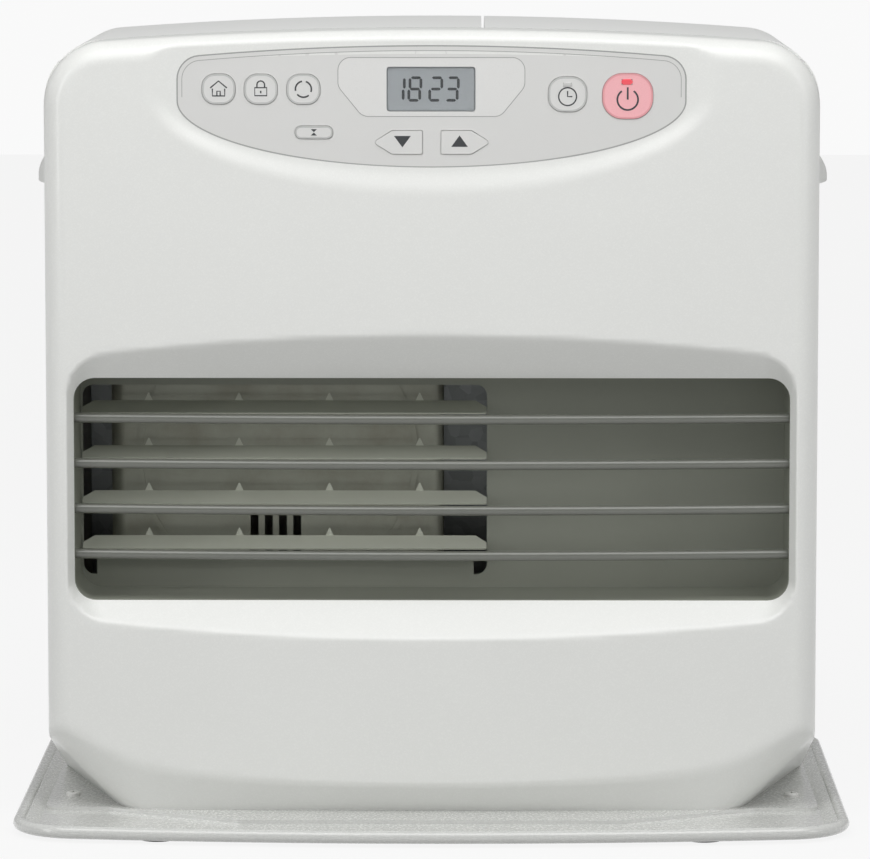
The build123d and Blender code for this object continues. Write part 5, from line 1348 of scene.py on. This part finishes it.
def slat_shape():
    rows = []
    for i, (y, drop, notch) in enumerate(BEND):
        before, after = BEND[max(i - 1, 0)], BEND[min(i + 1, len(BEND) - 1)]
        run = np.array([after[0] - before[0], after[1] - before[1]])
        run /= np.linalg.norm(run)
        inner_y, inner_drop = y - run[1] * SLAT_SHEET, drop + run[0] * SLAT_SHEET
        for row_y, row_z in ((y, drop), (inner_y, inner_drop)):
            rows.append((SLAT_LEFT + notch, row_y, row_z))
            rows.append((SLAT_RIGHT - notch, row_y, row_z))
    faces = [(0, 2, 3, 1)]
    for i in range(len(BEND) - 1):
        a, b = 4 * i, 4 * i + 4
        faces += [(a, a + 1, b + 1, b), (a + 2, b + 2, b + 3, a + 3)]
        faces += [(a, b, b + 2, a + 2), (a + 1, a + 3, b + 3, b + 1)]
    faces.append((b, b + 1, b + 3, b + 2))
    for number in range(DART_COUNT):
        x = SLAT_LEFT + DART_FIRST + DART_PITCH * number
        start = len(rows)
        for y in (-18.2, -17.2):
            rows += [(x - 2.6, y, -0.8), (x + 2.6, y, -0.8), (x + 0.3, y, 4.1), (x - 0.3, y, 4.1)]
        faces += [tuple(start + i for i in f) for f in ((0, 1, 2, 3), (7, 6, 5, 4))]
        faces += [tuple(start + i for i in (j, (j + 1) % 4, (j + 1) % 4 + 4, j + 4)) for j in range(4)]
    mesh = bpy.data.meshes.new("slat")
    mesh.from_pydata([(x * MM, y * MM, z * MM) for x, y, z in rows], [], faces)
    face_outwards(mesh)
    return bpy.data.objects.new("slat", mesh)


print("slat rows:", len(BEND))

# %% Repeat the slat
slat_inputs = {"Slat": "Object", "Count": "Int", "Pitch": "Float", "Top": "Float"}
tree, slat_sockets, group_in = node_group("repeat_slats", slat_inputs)
slat_info = add_node(tree, "GeometryNodeObjectInfo", links={"Object": group_in.outputs["Slat"]})
fall = add_node(
    tree, "ShaderNodeMath", {"operation": "MULTIPLY"}, {1: -1.0}, {0: group_in.outputs["Pitch"]}
)
step = add_node(tree, "ShaderNodeCombineXYZ", links={"Z": fall.outputs["Value"]})
start = add_node(tree, "ShaderNodeCombineXYZ", links={"Z": group_in.outputs["Top"]})
column = add_node(
    tree, "GeometryNodeMeshLine", {"mode": "OFFSET"},
    links={
        "Count": group_in.outputs["Count"], "Start Location": start.outputs["Vector"],
        "Offset": step.outputs["Vector"]
    }
)
slat_links = {"Points": column.outputs["Mesh"], "Instance": slat_info.outputs["Geometry"]}
# The slats take the lightened paint, painted light for the shade under the recess's top
repeat_shape(tree, slat_links, "slat_paint_with_painted_light")

slat = slat_shape()
slats = new_object("louvre_slats", bpy.data.meshes.new("louvre_slats"))
slat_values = {"Slat": slat, "Count": SLAT_COUNT, "Pitch": SLAT_PITCH * MM, "Top": SLAT_TOP * MM}
bake_nodes(slats, tree, slat_sockets, slat_values)
bpy.data.objects.remove(slat)
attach(slats, "cabinet")
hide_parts("louvre_blades")
print("slat faces:", len(slats.data.polygons))

# %% [markdown]
# ## Floor, light and camera
# A catalogue shot: a pale floor, a wide soft box above and in front, a weaker one on each side,
# and an even pale surround. The camera stands 3 m away with a long lens, a little above the
# heater's top, as the photographer's did.

# %% Floor and surround


def seen_by(tree, first, *others):
    sight = add_node(tree, "ShaderNodeLightPath")
    out = sight.outputs[first]
    for ray in others:
        larger = add_node(
            tree, "ShaderNodeMath", {"operation": "MAXIMUM"}, links={0: out, 1: sight.outputs[ray]}
        )
        out = larger.outputs["Value"]
    return out


floor_mesh = bpy.data.meshes.new("studio_floor")
reach = 6.0
floor_mesh.from_pydata(
    [(-reach, -reach, 0), (reach, -reach, 0), (reach, reach, 0), (-reach, reach, 0)], [], [(0, 1, 2, 3)]
)
floor = new_object("studio_floor", floor_mesh)
floor_paint = bpy.data.materials.new("seamless paper, matt white")
floor_paint.use_nodes = True
paper = floor_paint.node_tree
paper.nodes.clear()
seen = seen_by(paper, "Is Camera Ray", "Is Glossy Ray", "Is Transmission Ray")
share = add_node(paper, "ShaderNodeMath", {"operation": "MULTIPLY"}, {1: 0.88}, {0: seen})
matt = add_node(paper, "ShaderNodeBsdfDiffuse", values={"Color": linear("#C6C6C6")})
pale = add_node(paper, "ShaderNodeEmission", values={"Color": (1, 1, 1, 1), "Strength": 1.0})
mixed = add_node(
    paper, "ShaderNodeMixShader",
    links={0: share.outputs["Value"], 1: matt.outputs["BSDF"], 2: pale.outputs["Emission"]}
)
add_node(paper, "ShaderNodeOutputMaterial", links={"Surface": mixed.outputs["Shader"]})
floor_mesh.materials.append(floor_paint)

world = bpy.data.worlds.new("studio surround")
bpy.context.scene.world = world
world.use_nodes = True
sky = world.node_tree
sky.nodes.clear()
seen = seen_by(sky, "Is Camera Ray", "Is Transmission Ray")
strength = add_node(
    sky, "ShaderNodeMapRange", values={"To Min": 0.38, "To Max": 0.95}, links={"Value": seen}
)
glow = add_node(
    sky, "ShaderNodeBackground", values={"Color": (1, 1, 1, 1)},
    links={"Strength": strength.outputs["Result"]}
)
add_node(sky, "ShaderNodeOutputWorld", links={"Surface": glow.outputs["Background"]})
print("floor reach:", reach, "m")

# %% Lamps


def soft_box(name, place, aim, width, height, watts):
    light = bpy.data.lights.new(name, "AREA")
    light.shape = "RECTANGLE"
    light.size = width
    light.size_y = height
    light.energy = watts
    lamp = new_object(name, light)
    run = Vector(aim) - Vector(place)
    lamp.location = place
    lamp.rotation_euler = run.to_track_quat("-Z", "Y").to_euler()
    return lamp


soft_box("overhead soft box", (0.0, -0.7, 1.35), (0, -0.05, 0.3), 2.0, 0.9, 14.5)
soft_box("left strip box", (-1.9, -1.3, 0.8), (0, 0, 0.3), 0.35, 1.3, 6)
soft_box("right strip box", (1.9, -1.3, 0.8), (0, 0, 0.3), 0.35, 1.3, 4)

# %% Camera
optics = bpy.data.cameras.new("catalogue camera")
optics.lens = 221.05
optics.sensor_width = 36.0
optics.clip_end = 60.0
camera = new_object("catalogue camera", optics)
camera.location = (0.02405, -3.026, 0.5539)
camera.rotation_euler = (math.radians(83.544), 0.0, math.radians(0.43))
bpy.context.scene.camera = camera
bpy.context.scene.view_settings.view_transform = "Standard"
print("camera distance:", round(camera.location.length, 2), "m")
